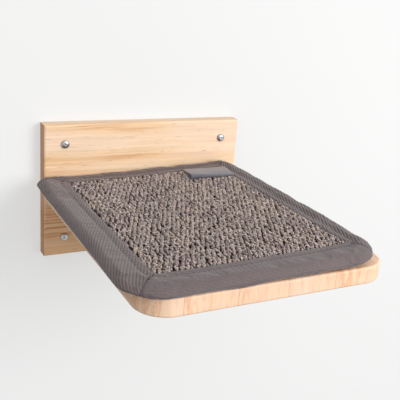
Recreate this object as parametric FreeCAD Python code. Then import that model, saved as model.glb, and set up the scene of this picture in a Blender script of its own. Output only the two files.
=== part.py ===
import FreeCAD
import Part
import math
import os

# Wall mounted cat step: a wooden back board screwed to the wall, a wooden shelf
# that stands out from it, and a bound sisal mat that lifts off the shelf.
#
# Frame, in millimetres: X to the right, Z up, and the wall is the plane Y = 0.
# The origin is the middle of the back board's rear face, so the shelf runs
# towards -Y and the wall screws run into the wall towards +Y.

V = FreeCAD.Vector
Y_AXIS = V(0, 1, 0)
SAME_PLACE = 1e-6
CUT_MARGIN = 1.0
MOST_OF_WALL = 0.45
HALF_DIAGONAL = math.sqrt(0.5)

# ---- Back board -----------------------------------------------------------------
BOARD_WIDTH = 260.0  # both boards are cut from one width of stock
BACK_HEIGHT = 165.0
BACK_THICKNESS = 18.0
BACK_EDGE_RADIUS = 2.5

# ---- Shelf board ----------------------------------------------------------------
SHELF_DEPTH = 315.0
SHELF_THICKNESS = 18.0
SHELF_CORNER_RADIUS = 30.0
SHELF_EDGE_RADIUS = 2.5
SHELF_MID_HEIGHT = 0.0

# ---- Wall screws ----------------------------------------------------------------
WALL_SCREW_SIDE_INSET = 25.0
WALL_SCREW_END_INSET = 23.5
WALL_SCREW_THREAD_DIAMETER = 5.0
WALL_SCREW_THREAD_START = 1.0
WALL_SCREW_NECK_DIAMETER = 3.8
WALL_SCREW_IN_WALL = 37.0
WALL_SCREW_HEAD_DIAMETER = 10.0
WALL_SCREW_HEAD_RIM = 0.9
WALL_SCREW_HEAD_DOME = 2.3
WALL_SCREW_POINT_LENGTH = 6.0
WALL_SCREW_HOLE_CLEARANCE = 0.25
RECESS_SPAN = 5.0
RECESS_SLOT = 1.1
RECESS_DEPTH = 1.7

# ---- Shelf screws, driven from behind into the shelf's end grain -------------------
SHELF_SCREW_COUNT = 3
SHELF_SCREW_SPACING = 80.0
SHELF_SCREW_SHANK_DIAMETER = 4.5
SHELF_SCREW_LENGTH = 70.0
SHELF_SCREW_HEAD_DIAMETER = 9.0
SHELF_SCREW_HEAD_SINK = 0.5
SHELF_SCREW_POINT_LENGTH = 6.0
PILOT_CLEARANCE = 0.05

# ---- Dowels between the shelf screws ----------------------------------------------
DOWEL_COUNT = 2
DOWEL_DIAMETER = 8.0
DOWEL_LENGTH = 40.0
DOWEL_IN_BACK = 12.0
DOWEL_CHAMFER = 1.0
DOWEL_CLEARANCE = 0.05
DOWEL_END_ROOM = 1.0

# ---- Hook and loop strips ---------------------------------------------------------
STRIP_WIDTH = 30.0
STRIP_LEFT_INSET = 25.0
STRIP_RIGHT_INSET = 65.0
STRIP_BACK_INSET = 42.0
STRIP_FRONT_INSET = 43.0
HOOK_THICKNESS = 1.2
LOOP_THICKNESS = 0.9
SEWN_GAP = 0.05

# ---- Mat, lying a little too far to the left of the shelf ---------------------------
MAT_PAST_LEFT = 15.0
MAT_SHORT_OF_RIGHT = 13.0
MAT_PAST_FRONT = 6.5
MAT_BACK_GAP = 0.5
MAT_REST_GAP = 0.3
MAT_CORNER_RADII = {"back_left": 30.0, "front_left": 40.0, "front_right": 38.0, "back_right": 28.0}
BACKING_THICKNESS = 1.0
CORE_THICKNESS = 3.2
SISAL_THICKNESS = 4.4
LAYER_LEAST_ROUNDING = 0.5

# The right side of the mat has curled up off the shelf.
CURL_RISE_BACK = 9.0
CURL_RISE_FRONT = 5.0
CURL_START = 65.0
CURL_POWER = 1.4
CURL_SPANS = 6

# ---- Mat binding, a doubled tape folded over a padded rim -----------------------------
BINDING_WIDTHS = {"left": 34.0, "front": 34.0, "right": 26.0, "back": 26.0}
BINDING_LAP = 12.0
BINDING_TOP_LAYER = 1.2
BINDING_UNDER_LAYER = 2.0
BINDING_CROWN = 0.7
BINDING_CROWN_INSET = 14.0
BINDING_ROLL = 6.2
BINDING_FIT = 0.1
BINDING_INNER_RADIUS = 2.0
WIDTH_BLEND = 12.0
CORNER_SPANS = 4

# ---- Sewn-in tag ----------------------------------------------------------------
TAG_WIDTH = 54.0
TAG_DEPTH = 36.0
TAG_LAYER = 0.8
TAG_FROM_RIGHT = 53.5
TAG_TURN = -9.0
TAG_LOOP_LEFT = 5.2
TAG_LOOP_RIGHT = 2.4
TAG_BASE_GAP = 0.2
TAG_SEAM_GAP = 0.3

# ---- Places worked out from the sizes ---------------------------------------------
BACK_FACE_Y = -BACK_THICKNESS
SHELF_TOP = SHELF_MID_HEIGHT + SHELF_THICKNESS / 2
SHELF_BOTTOM = SHELF_TOP - SHELF_THICKNESS
SHELF_FRONT_Y = BACK_FACE_Y - SHELF_DEPTH

WALL_SCREW_X = BOARD_WIDTH / 2 - WALL_SCREW_SIDE_INSET
WALL_SCREW_Z = BACK_HEIGHT / 2 - WALL_SCREW_END_INSET

MAT_LEFT = -BOARD_WIDTH / 2 - MAT_PAST_LEFT
MAT_RIGHT = BOARD_WIDTH / 2 - MAT_SHORT_OF_RIGHT
MAT_BACK_Y = BACK_FACE_Y - MAT_BACK_GAP
MAT_FRONT_Y = SHELF_FRONT_Y - MAT_PAST_FRONT
MAT_DEPTH = MAT_BACK_Y - MAT_FRONT_Y
CURL_START_X = MAT_LEFT + CURL_START

STRIP_STARTS_X = {
    "left": -BOARD_WIDTH / 2 + STRIP_LEFT_INSET,
    "right": BOARD_WIDTH / 2 - STRIP_RIGHT_INSET - STRIP_WIDTH,
}
STRIP_BACK_Y = BACK_FACE_Y - STRIP_BACK_INSET
STRIP_FRONT_Y = SHELF_FRONT_Y + STRIP_FRONT_INSET
HOOK_TOP = SHELF_TOP + HOOK_THICKNESS
LOOP_BOTTOM = HOOK_TOP + MAT_REST_GAP
LOOP_TOP = LOOP_BOTTOM + LOOP_THICKNESS
STACK_BOTTOM = LOOP_TOP + SEWN_GAP
CORE_BOTTOM = STACK_BOTTOM + BACKING_THICKNESS
SISAL_BOTTOM = CORE_BOTTOM + CORE_THICKNESS
SISAL_TOP = SISAL_BOTTOM + SISAL_THICKNESS
LAYER_INSETS = {side: width - BINDING_LAP + BINDING_FIT for side, width in BINDING_WIDTHS.items()}

BINDING_BASE = STACK_BOTTOM - BINDING_FIT - BINDING_UNDER_LAYER
BINDING_INNER_TOP = SISAL_TOP + BINDING_TOP_LAYER
BINDING_CROWN_TOP = BINDING_INNER_TOP + BINDING_CROWN
TAG_CENTRE_X = MAT_RIGHT - TAG_FROM_RIGHT


# ---- Helpers ----------------------------------------------------------------------
def revolve_about_y(profile, centre):
    """A solid of revolution about a line along Y; the profile lists (radius, y)."""
    points = [V(radius, y, 0) for radius, y in profile]
    face = Part.Face(Part.makePolygon(points + [points[0]]))
    solid = face.revolve(V(0, 0, 0), Y_AXIS, 360)
    solid.translate(centre)
    return solid


def cylinder_along_y(radius, y_start, y_end, centre):
    """A cylinder along Y between two depths, on a line through centre."""
    start = V(centre.x, y_start, centre.z)
    return Part.makeCylinder(radius, y_end - y_start, start, Y_AXIS)


def centred_row(count, spacing):
    """Places of a row of equal pieces, spread evenly about zero."""
    first = -spacing * (count - 1) / 2
    return [first + spacing * index for index in range(count)]


def edges_where(shape, test):
    """The edges whose both ends pass a test."""
    return [edge for edge in shape.Edges if all(test(vertex.Point) for vertex in edge.Vertexes)]


def upright_edges(shape, x, y):
    """The upright edges of a shape that stand at one place."""
    def at_place(point):
        return abs(point.x - x) < SAME_PLACE and abs(point.y - y) < SAME_PLACE

    return edges_where(shape, at_place)


# ---- Wooden boards ------------------------------------------------------------------
def make_back_board():
    """The back board with eased front edges, screw holes and blind dowel holes."""
    corner = V(-BOARD_WIDTH / 2, BACK_FACE_Y, -BACK_HEIGHT / 2)
    board = Part.makeBox(BOARD_WIDTH, BACK_THICKNESS, BACK_HEIGHT, corner)
    radius = min(BACK_EDGE_RADIUS, MOST_OF_WALL * BACK_THICKNESS)
    eased = edges_where(board, lambda point: abs(point.y - BACK_FACE_Y) < SAME_PLACE)
    board = board.makeFillet(radius, eased)

    holes = []
    wall_hole = WALL_SCREW_THREAD_DIAMETER / 2 + WALL_SCREW_HOLE_CLEARANCE
    for place in wall_screw_places().values():
        holes.append(cylinder_along_y(wall_hole, BACK_FACE_Y, 0, place))
    for place in shelf_screw_places().values():
        holes.append(shelf_screw_hole(place))
    for place in dowel_places().values():
        dowel_hole = DOWEL_DIAMETER / 2 + DOWEL_CLEARANCE
        floor = BACK_FACE_Y + DOWEL_IN_BACK + DOWEL_END_ROOM
        holes.append(cylinder_along_y(dowel_hole, BACK_FACE_Y, floor, place))
    return board.cut(holes)


def make_shelf_board():
    """The shelf board, with rounded front corners and eased edges all round."""
    half = BOARD_WIDTH / 2
    radius = min(SHELF_CORNER_RADIUS, MOST_OF_WALL * BOARD_WIDTH)
    side_end = SHELF_FRONT_Y + radius
    diagonal = radius * (1 - HALF_DIAGONAL)
    z = SHELF_BOTTOM
    back_left = V(-half, BACK_FACE_Y, z)
    back_right = V(half, BACK_FACE_Y, z)
    right_end = V(half, side_end, z)
    front_right = V(half - radius, SHELF_FRONT_Y, z)
    front_left = V(-half + radius, SHELF_FRONT_Y, z)
    left_end = V(-half, side_end, z)
    right_mid = V(half - diagonal, SHELF_FRONT_Y + diagonal, z)
    left_mid = V(-half + diagonal, SHELF_FRONT_Y + diagonal, z)
    outline = Part.Wire([
        Part.makeLine(back_left, left_end),
        Part.Arc(left_end, left_mid, front_left).toShape(),
        Part.makeLine(front_left, front_right),
        Part.Arc(front_right, right_mid, right_end).toShape(),
        Part.makeLine(right_end, back_right),
        Part.makeLine(back_right, back_left),
    ])
    board = Part.Face(outline).extrude(V(0, 0, SHELF_THICKNESS))

    def on_a_face(point):
        return abs(point.z - SHELF_TOP) < SAME_PLACE or abs(point.z - SHELF_BOTTOM) < SAME_PLACE

    flat_edges = edges_where(board, on_a_face)
    eased = [
        edge for edge in flat_edges
        if abs(edge.Vertexes[0].Z - edge.Vertexes[-1].Z) < SAME_PLACE
        and abs(edge.CenterOfMass.y - BACK_FACE_Y) > SAME_PLACE
    ]
    ease = min(SHELF_EDGE_RADIUS, MOST_OF_WALL * SHELF_THICKNESS)
    board = board.makeFillet(ease, eased)

    holes = []
    screw_end = -SHELF_SCREW_HEAD_SINK - SHELF_SCREW_LENGTH - DOWEL_END_ROOM
    pilot = SHELF_SCREW_SHANK_DIAMETER / 2 + PILOT_CLEARANCE
    for place in shelf_screw_places().values():
        holes.append(cylinder_along_y(pilot, screw_end, BACK_FACE_Y, place))
    dowel_end = BACK_FACE_Y + DOWEL_IN_BACK - DOWEL_LENGTH - DOWEL_END_ROOM
    dowel_hole = DOWEL_DIAMETER / 2 + DOWEL_CLEARANCE
    for place in dowel_places().values():
        holes.append(cylinder_along_y(dowel_hole, dowel_end, BACK_FACE_Y, place))
    return board.cut(holes)


# ---- Fasteners ----------------------------------------------------------------------
def wall_screw_places():
    """Where each wall screw's axis crosses the wall plane."""
    return {
        "top_left": V(-WALL_SCREW_X, 0, WALL_SCREW_Z),
        "top_right": V(WALL_SCREW_X, 0, WALL_SCREW_Z),
        "bottom_left": V(-WALL_SCREW_X, 0, -WALL_SCREW_Z),
        "bottom_right": V(WALL_SCREW_X, 0, -WALL_SCREW_Z),
    }


def shelf_screw_places():
    """Where each shelf screw's axis crosses the wall plane, left to right."""
    row = centred_row(SHELF_SCREW_COUNT, SHELF_SCREW_SPACING)
    return {index + 1: V(x, 0, SHELF_MID_HEIGHT) for index, x in enumerate(row)}


def dowel_places():
    """Where each dowel's axis crosses the wall plane, midway between two screws."""
    row = centred_row(DOWEL_COUNT, SHELF_SCREW_SPACING)
    return {index + 1: V(x, 0, SHELF_MID_HEIGHT) for index, x in enumerate(row)}


def make_wall_screw(place):
    """A domed screw: a plain neck in the back board, and its thread in the wall."""
    neck = WALL_SCREW_NECK_DIAMETER / 2
    thread = WALL_SCREW_THREAD_DIAMETER / 2
    head = WALL_SCREW_HEAD_DIAMETER / 2
    body = revolve_about_y([
        (0, BACK_FACE_Y),
        (neck, BACK_FACE_Y),
        (neck, WALL_SCREW_THREAD_START),
        (thread, WALL_SCREW_THREAD_START),
        (thread, WALL_SCREW_IN_WALL - WALL_SCREW_POINT_LENGTH),
        (0, WALL_SCREW_IN_WALL),
    ], place)
    rim_front = BACK_FACE_Y - WALL_SCREW_HEAD_RIM
    rim = cylinder_along_y(head, rim_front, BACK_FACE_Y, place)
    sphere_radius = (head ** 2 + WALL_SCREW_HEAD_DOME ** 2) / (2 * WALL_SCREW_HEAD_DOME)
    sphere_y = rim_front - WALL_SCREW_HEAD_DOME + sphere_radius
    sphere = Part.makeSphere(sphere_radius, V(place.x, sphere_y, place.z))
    cap_front = rim_front - WALL_SCREW_HEAD_DOME
    cap = sphere.common(cylinder_along_y(head, cap_front, rim_front, place))
    screw = body.fuse([rim, cap]).removeSplitter()

    recess_start = cap_front
    arms = []
    for span_x, span_z in ((RECESS_SPAN, RECESS_SLOT), (RECESS_SLOT, RECESS_SPAN)):
        corner = V(place.x - span_x / 2, recess_start, place.z - span_z / 2)
        arms.append(Part.makeBox(span_x, RECESS_DEPTH, span_z, corner))
    return screw.cut(arms)


def shelf_screw_profile(grow, head_y):
    """Half outline of a countersunk screw along -Y, swollen by grow for its hole."""
    shank = SHELF_SCREW_SHANK_DIAMETER / 2 + grow
    head = SHELF_SCREW_HEAD_DIAMETER / 2 + grow
    head_depth = head - shank
    tip = head_y - SHELF_SCREW_LENGTH
    return [
        (0, head_y),
        (head, head_y),
        (shank, head_y - head_depth),
        (shank, tip + SHELF_SCREW_POINT_LENGTH),
        (0, tip),
    ]


def make_shelf_screw(place):
    """A countersunk screw, its head just below the back board's rear face."""
    return revolve_about_y(shelf_screw_profile(0, -SHELF_SCREW_HEAD_SINK), place)


def shelf_screw_hole(place):
    """The countersunk hole for one shelf screw, open at the rear face."""
    screw_space = revolve_about_y(
        shelf_screw_profile(PILOT_CLEARANCE, -SHELF_SCREW_HEAD_SINK), place)
    head = SHELF_SCREW_HEAD_DIAMETER / 2 + PILOT_CLEARANCE
    mouth = cylinder_along_y(head, -SHELF_SCREW_HEAD_SINK, 0, place)
    return screw_space.fuse(mouth)


def make_dowel(place):
    """A hardwood dowel with chamfered ends, half hidden in each board."""
    radius = DOWEL_DIAMETER / 2
    back_end = BACK_FACE_Y + DOWEL_IN_BACK
    front_end = back_end - DOWEL_LENGTH
    return revolve_about_y([
        (0, front_end),
        (radius - DOWEL_CHAMFER, front_end),
        (radius, front_end + DOWEL_CHAMFER),
        (radius, back_end - DOWEL_CHAMFER),
        (radius - DOWEL_CHAMFER, back_end),
        (0, back_end),
    ], place)


# ---- Curl of the mat ------------------------------------------------------------------
def curl_breaks():
    """The X places between which the curl runs straight."""
    step = (MAT_RIGHT - CURL_START_X) / CURL_SPANS
    return [CURL_START_X + step * index for index in range(CURL_SPANS + 1)]


def curl_share(x):
    """How much of the full curl is reached at X, from 0 to 1, straight between breaks."""
    across = (x - CURL_START_X) / (MAT_RIGHT - CURL_START_X) * CURL_SPANS
    if across <= 0:
        return 0.0
    span = min(int(across), CURL_SPANS - 1)
    before = (span / CURL_SPANS) ** CURL_POWER
    after = ((span + 1) / CURL_SPANS) ** CURL_POWER
    return before + (after - before) * (across - span)


def curl_rise(x, y):
    """How far the mat has curled up at a place, from nothing at CURL_START_X."""
    along = (y - MAT_FRONT_Y) / MAT_DEPTH
    return (CURL_RISE_FRONT + (CURL_RISE_BACK - CURL_RISE_FRONT) * along) * curl_share(x)


def curl_stations(x_start, x_end):
    """The X places of a loft's sections between two ends, with every break between."""
    inner = [x for x in curl_breaks() if x_start < x < x_end]
    return [x_start] + inner + [x_end]


def on_mat(x, y, z):
    """A point of the flat mat, moved to where the curl takes it."""
    return V(x, y, z + curl_rise(x, y))


def curled_slab(x_start, x_end, y_front, y_back, z_low, z_high):
    """One flat layer of the mat, bent to the curl, as a loft of four-sided sections."""
    sections = []
    for x in curl_stations(x_start, x_end):
        corners = [
            on_mat(x, y_front, z_low),
            on_mat(x, y_back, z_low),
            on_mat(x, y_back, z_high),
            on_mat(x, y_front, z_high),
        ]
        sections.append(Part.makePolygon(corners + [corners[0]]))
    return Part.makeLoft(sections, True, True)


# ---- Layers inside the binding ----------------------------------------------------------
def make_layer(z_low, z_high):
    """A layer of the mat's stack, with its corners rounded to stay in the binding."""
    sides_x = {"left": MAT_LEFT + LAYER_INSETS["left"], "right": MAT_RIGHT - LAYER_INSETS["right"]}
    sides_y = {"front": MAT_FRONT_Y + LAYER_INSETS["front"], "back": MAT_BACK_Y - LAYER_INSETS["back"]}
    x_start, x_end = sides_x["left"], sides_x["right"]
    y_front, y_back = sides_y["front"], sides_y["back"]
    slab = curled_slab(x_start, x_end, y_front, y_back, z_low, z_high)
    height = z_high - z_low + max(CURL_RISE_BACK, CURL_RISE_FRONT, 0) + 2 * CUT_MARGIN
    corner = V(x_start, y_front, z_low - CUT_MARGIN)
    block = Part.makeBox(x_end - x_start, y_back - y_front, height, corner)
    for corner, radius in MAT_CORNER_RADII.items():
        end, side = corner.split("_")
        rounding = max(radius - min(LAYER_INSETS[end], LAYER_INSETS[side]), LAYER_LEAST_ROUNDING)
        block = block.makeFillet(rounding, upright_edges(block, sides_x[side], sides_y[end]))
    return slab.common(block)


def make_hook_strip(x_start):
    """The hook half of a fastener strip, stuck on the shelf."""
    corner = V(x_start, STRIP_FRONT_Y, SHELF_TOP)
    return Part.makeBox(STRIP_WIDTH, STRIP_BACK_Y - STRIP_FRONT_Y, HOOK_THICKNESS, corner)


def make_loop_strip(x_start):
    """The loop half of a fastener strip, sewn under the mat and bent with it."""
    x_end = x_start + STRIP_WIDTH
    return curled_slab(x_start, x_end, STRIP_FRONT_Y, STRIP_BACK_Y, LOOP_BOTTOM, LOOP_TOP)


# ---- Binding ----------------------------------------------------------------------------
def binding_section(edge_x, edge_y, inward, width):
    """One closed section of the binding, standing inward from a point of the mat's edge.

    It runs over the crown of the tape, round the rolled rim, back underneath,
    and round the slot that takes the edge of the layers.
    """
    roll_mid = BINDING_ROLL * (1 - HALF_DIAGONAL)
    rim_half = (BINDING_CROWN_TOP - BINDING_BASE) / 2
    rim_middle = BINDING_BASE + rim_half
    shoulder_top = BINDING_CROWN_TOP - BINDING_CROWN / 4
    upper_mid = rim_middle + (shoulder_top - rim_middle) * HALF_DIAGONAL
    lower_mid = rim_middle - rim_half * HALF_DIAGONAL
    slot_low = STACK_BOTTOM - BINDING_FIT
    slot_high = SISAL_TOP + BINDING_FIT
    slot_end = width - BINDING_LAP

    def at(inset, z):
        return on_mat(edge_x + inward[0] * inset, edge_y + inward[1] * inset, z)

    inner_top = at(width, BINDING_INNER_TOP)
    crown = at(BINDING_CROWN_INSET, BINDING_CROWN_TOP)
    shoulder = at(BINDING_ROLL, shoulder_top)
    roll_upper = at(roll_mid, upper_mid)
    nose = at(0, rim_middle)
    roll_lower = at(roll_mid, lower_mid)
    under = at(BINDING_ROLL, BINDING_BASE)
    inner_bottom = at(width, BINDING_BASE)
    slot_bottom_mouth = at(width, slot_low)
    slot_bottom_end = at(slot_end, slot_low)
    slot_top_end = at(slot_end, slot_high)
    slot_top_mouth = at(width, slot_high)
    return Part.Wire([
        Part.Arc(inner_top, crown, shoulder).toShape(),
        Part.Arc(shoulder, roll_upper, nose).toShape(),
        Part.Arc(nose, roll_lower, under).toShape(),
        Part.makeLine(under, inner_bottom),
        Part.makeLine(inner_bottom, slot_bottom_mouth),
        Part.makeLine(slot_bottom_mouth, slot_bottom_end),
        Part.makeLine(slot_bottom_end, slot_top_end),
        Part.makeLine(slot_top_end, slot_top_mouth),
        Part.makeLine(slot_top_mouth, inner_top),
    ])


def corner_stations(corner, turns):
    """Stations of the binding round part of one corner, between two turns from 0 to 1.

    Each station is a point of the mat's edge, the way inward, and the tape's width,
    which passes smoothly from one side's width to the other's.
    """
    centre_x, centre_y, radius, first_side, last_side, start_deg = mat_corners()[corner]
    widest = radius - BINDING_INNER_RADIUS
    stations = []
    for index in range(CORNER_SPANS + 1):
        turn = turns[0] + (turns[1] - turns[0]) * index / CORNER_SPANS
        angle = math.radians(start_deg + 90 * turn)
        out = (math.cos(angle), math.sin(angle))
        width = BINDING_WIDTHS[first_side] * (1 - turn) + BINDING_WIDTHS[last_side] * turn
        edge_x = centre_x + radius * out[0]
        edge_y = centre_y + radius * out[1]
        stations.append((edge_x, edge_y, (-out[0], -out[1]), min(width, widest)))
    return stations


def mat_corners():
    """Centre and radius of each corner, the sides that it joins, and where its arc starts."""
    radii = MAT_CORNER_RADII
    places = {}
    for name, first_side, last_side, start_deg in (
        ("back_right", "right", "back", 0),
        ("back_left", "back", "left", 90),
        ("front_left", "left", "front", 180),
        ("front_right", "front", "right", 270),
    ):
        radius = radii[name]
        x = MAT_RIGHT - radius if "right" in name else MAT_LEFT + radius
        y = MAT_BACK_Y - radius if "back" in name else MAT_FRONT_Y + radius
        places[name] = (x, y, radius, first_side, last_side, start_deg)
    return places


def side_stations(side, start, end):
    """Stations along the straight part of one side, where the tape has its full width."""
    width = BINDING_WIDTHS[side]
    if side == "left":
        run = sorted([start + WIDTH_BLEND, end - WIDTH_BLEND], reverse=True)
        return [(MAT_LEFT, y, (1, 0), width) for y in run]
    if side == "right":
        return [(MAT_RIGHT, y, (-1, 0), width) for y in (start + WIDTH_BLEND, end - WIDTH_BLEND)]
    run = curl_stations(start + WIDTH_BLEND, end - WIDTH_BLEND)
    if side == "front":
        return [(x, MAT_FRONT_Y, (0, 1), width) for x in run]
    return [(x, MAT_BACK_Y, (0, -1), width) for x in reversed(run)]


def make_binding(side):
    """One length of binding, mitred in the middle of the corner at each end."""
    corners = mat_corners()
    first, last = {
        "right": ("front_right", "back_right"),
        "back": ("back_right", "back_left"),
        "left": ("back_left", "front_left"),
        "front": ("front_left", "front_right"),
    }[side]
    along = 0 if side in ("front", "back") else 1
    start, end = sorted((corners[first][along], corners[last][along]))
    stations = corner_stations(first, (0.5, 1))
    stations += side_stations(side, start, end)
    stations += corner_stations(last, (0, 0.5))
    sections = [binding_section(*station) for station in stations]
    return Part.makeLoft(sections, True, True)


# ---- Tag ------------------------------------------------------------------------------
def make_label_tag():
    """A blank folded tag, its two ends at the binding and its open fold to the front."""
    turn = math.radians(TAG_TURN)
    pivot_y = MAT_BACK_Y - BINDING_WIDTHS["back"] - TAG_SEAM_GAP
    drop = TAG_WIDTH * abs(math.sin(turn)) / 2

    def at(x, back_distance, height):
        turned_x = TAG_CENTRE_X + x * math.cos(turn) + back_distance * math.sin(turn)
        turned_y = pivot_y - drop + x * math.sin(turn) - back_distance * math.cos(turn)
        return on_mat(turned_x, turned_y, SISAL_TOP + TAG_BASE_GAP + height)

    def section(x, loop):
        low = TAG_LAYER
        high = loop - TAG_LAYER
        middle = loop / 2
        outer_fold = TAG_DEPTH - loop / 2
        seam_top = 2 * TAG_LAYER
        outer_mid = outer_fold + loop / 2 * HALF_DIAGONAL
        inner_half = middle - TAG_LAYER
        inner_mid = outer_fold + inner_half * HALF_DIAGONAL
        rise = loop / 2 * HALF_DIAGONAL
        inner_rise = inner_half * HALF_DIAGONAL
        return Part.Wire([
            Part.makeLine(at(x, 0, 0), at(x, outer_fold, 0)),
            Part.Arc(at(x, outer_fold, 0), at(x, outer_mid, middle - rise),
                     at(x, TAG_DEPTH, middle)).toShape(),
            Part.Arc(at(x, TAG_DEPTH, middle), at(x, outer_mid, middle + rise),
                     at(x, outer_fold, loop)).toShape(),
            Part.makeLine(at(x, outer_fold, loop), at(x, 0, seam_top)),
            Part.makeLine(at(x, 0, seam_top), at(x, 0, low + TAG_LAYER / 4)),
            Part.makeLine(at(x, 0, low + TAG_LAYER / 4), at(x, outer_fold, high)),
            Part.Arc(at(x, outer_fold, high), at(x, inner_mid, middle + inner_rise),
                     at(x, outer_fold + inner_half, middle)).toShape(),
            Part.Arc(at(x, outer_fold + inner_half, middle),
                     at(x, inner_mid, middle - inner_rise),
                     at(x, outer_fold, low)).toShape(),
            Part.makeLine(at(x, outer_fold, low), at(x, TAG_LAYER, low)),
            Part.makeLine(at(x, TAG_LAYER, low), at(x, 0, low)),
            Part.makeLine(at(x, 0, low), at(x, 0, 0)),
        ])

    sections = [section(-TAG_WIDTH / 2, TAG_LOOP_LEFT), section(TAG_WIDTH / 2, TAG_LOOP_RIGHT)]
    return Part.makeLoft(sections, True, True)


# ---- Everything, one file for each piece -------------------------------------------------
def all_pieces():
    pieces = {
        "back_board": make_back_board(),
        "shelf_board": make_shelf_board(),
        "mat_backing": make_layer(STACK_BOTTOM, CORE_BOTTOM),
        "mat_core": make_layer(CORE_BOTTOM, SISAL_BOTTOM),
        "sisal_panel": make_layer(SISAL_BOTTOM, SISAL_TOP),
        "label_tag": make_label_tag(),
    }
    for name, place in wall_screw_places().items():
        pieces["wall_screw_" + name] = make_wall_screw(place)
    for index, place in shelf_screw_places().items():
        pieces["shelf_screw_%d" % index] = make_shelf_screw(place)
    for index, place in dowel_places().items():
        pieces["dowel_%d" % index] = make_dowel(place)
    for name, x_start in STRIP_STARTS_X.items():
        pieces["hook_strip_" + name] = make_hook_strip(x_start)
        pieces["loop_strip_" + name] = make_loop_strip(x_start)
    for side in ("front", "back", "left", "right"):
        pieces["binding_" + side] = make_binding(side)
    return pieces


os.makedirs("parts", exist_ok=True)
for node, shape in all_pieces().items():
    box = shape.BoundBox
    print("%-24s solids %d valid %s volume %.1f  x %.1f..%.1f  y %.1f..%.1f  z %.1f..%.1f" % (
        node, len(shape.Solids), shape.isValid(), shape.Volume,
        box.XMin, box.XMax, box.YMin, box.YMax, box.ZMin, box.ZMax))
    shape.exportStep("parts/%s.step" % node)
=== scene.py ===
# %% [markdown]
# # A wall mounted cat step
#
# A wooden board is screwed flat to the wall, a second board stands out of it as a
# shelf, and a sisal mat with a padded, bound rim lies on the shelf. The shapes come
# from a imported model, the frame. This lesson dresses it: it gives the wood its grain,
# sews the mat, weaves its sisal, and sets up the light and the camera.

# %% Load the frame
import math

import bmesh
import bpy
import numpy as np
from mathutils import Matrix, Vector


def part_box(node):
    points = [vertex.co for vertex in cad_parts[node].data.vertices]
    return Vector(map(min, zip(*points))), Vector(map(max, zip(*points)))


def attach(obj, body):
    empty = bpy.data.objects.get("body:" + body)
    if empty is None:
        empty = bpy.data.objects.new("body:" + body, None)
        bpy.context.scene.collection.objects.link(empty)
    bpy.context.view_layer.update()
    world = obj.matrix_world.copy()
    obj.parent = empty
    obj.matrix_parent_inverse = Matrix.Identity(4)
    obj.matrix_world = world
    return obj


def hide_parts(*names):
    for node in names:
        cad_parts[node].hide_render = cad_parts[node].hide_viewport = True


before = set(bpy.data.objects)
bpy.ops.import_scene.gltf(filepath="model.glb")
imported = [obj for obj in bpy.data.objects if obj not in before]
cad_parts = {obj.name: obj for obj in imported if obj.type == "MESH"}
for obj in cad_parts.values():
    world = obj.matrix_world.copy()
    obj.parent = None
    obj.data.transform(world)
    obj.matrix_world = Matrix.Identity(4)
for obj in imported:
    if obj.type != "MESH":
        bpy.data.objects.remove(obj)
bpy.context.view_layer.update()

# %% [markdown]
# ## Units
#
# Blender works in metres here, and the maker's sizes are in millimetres. One factor
# turns one into the other, so that every size below can be read like on a drawing.

# %% Millimetres
MM = 0.001
WALL, MAT = "wall_frame", "mat"


def box(name):
    """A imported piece's lowest and highest corner, in millimetres."""
    return [np.array(corner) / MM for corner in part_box(name)]


print("shelf top at", round(box("shelf_board")[1][2], 2), "mm, wall at y = 0")

# %% [markdown]
# ## Camera
#
# The camera stands at the left, a little above the shelf, and is tilted by a few
# degrees, as the picture was. Its three axes are worked out from those angles and put
# into a matrix, because that is exact, while aiming by a constraint would lose the tilt.

# %% Camera
CAMERA_PLACE = (-0.32007, -0.76353, 0.25516)
CAMERA_AZIMUTH, CAMERA_ELEVATION, CAMERA_ROLL = -28.32, 18.41, 4.50
CAMERA_LENS, CAMERA_SENSOR = 59.41, 36.0


def camera_axes(azimuth, elevation, roll):
    """The camera's right, up and back directions, from three angles in degrees."""
    a, e, r = (math.radians(angle) for angle in (azimuth, elevation, roll))
    back = Vector((math.sin(a) * math.cos(e), -math.cos(a) * math.cos(e), math.sin(e)))
    level_right = (-back).cross(Vector((0, 0, 1))).normalized()
    level_up = level_right.cross(-back)
    right = math.cos(r) * level_right + math.sin(r) * level_up
    up = -math.sin(r) * level_right + math.cos(r) * level_up
    return right, up, back


def put_in_scene(name, data):
    """A new object of this data, at the origin."""
    made = bpy.data.objects.new(name, data)
    bpy.context.scene.collection.objects.link(made)
    return made


lens = bpy.data.cameras.new("camera")
lens.lens, lens.sensor_width = CAMERA_LENS, CAMERA_SENSOR
camera = put_in_scene("camera", lens)
axes = Matrix(camera_axes(CAMERA_AZIMUTH, CAMERA_ELEVATION, CAMERA_ROLL)).transposed()
camera.matrix_world = Matrix.Translation(CAMERA_PLACE) @ axes.to_4x4()
bpy.context.scene.camera = camera
print("camera", camera.location, "lens", CAMERA_LENS)

# %% [markdown]
# ## Small helpers for node trees
#
# Materials and Geometry Nodes are both trees of nodes. A socket knows its tree, so most
# helpers need only sockets. They name what a maker would ask for: noise, which may be
# stretched, a ramp of colours, a mix. The last one plugs a pattern into a shader.

# %% Node helpers
def plug(socket, value):
    """Give a socket a value, or link another socket to it."""
    if isinstance(value, bpy.types.NodeSocket):
        socket.id_data.links.new(value, socket)
    else:
        socket.default_value = value


def add(tree, kind, inputs=None, **settings):
    """Add one node. inputs maps a socket's name or number to a value or to a socket."""
    made = tree.nodes.new(kind)
    for name, value in settings.items():
        setattr(made, name, value)
    for key, value in (inputs or {}).items():
        plug(made.inputs[key], value)
    return made


def tree_of(*values):
    return next(value.id_data for value in values if isinstance(value, bpy.types.NodeSocket))


def maths(operation, *values, clamp=False):
    inputs = dict(enumerate((*values, 0.0, 0.0)[:3]))
    node = add(tree_of(*values), "ShaderNodeMath", inputs, operation=operation, use_clamp=clamp)
    return node.outputs[0]


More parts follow.
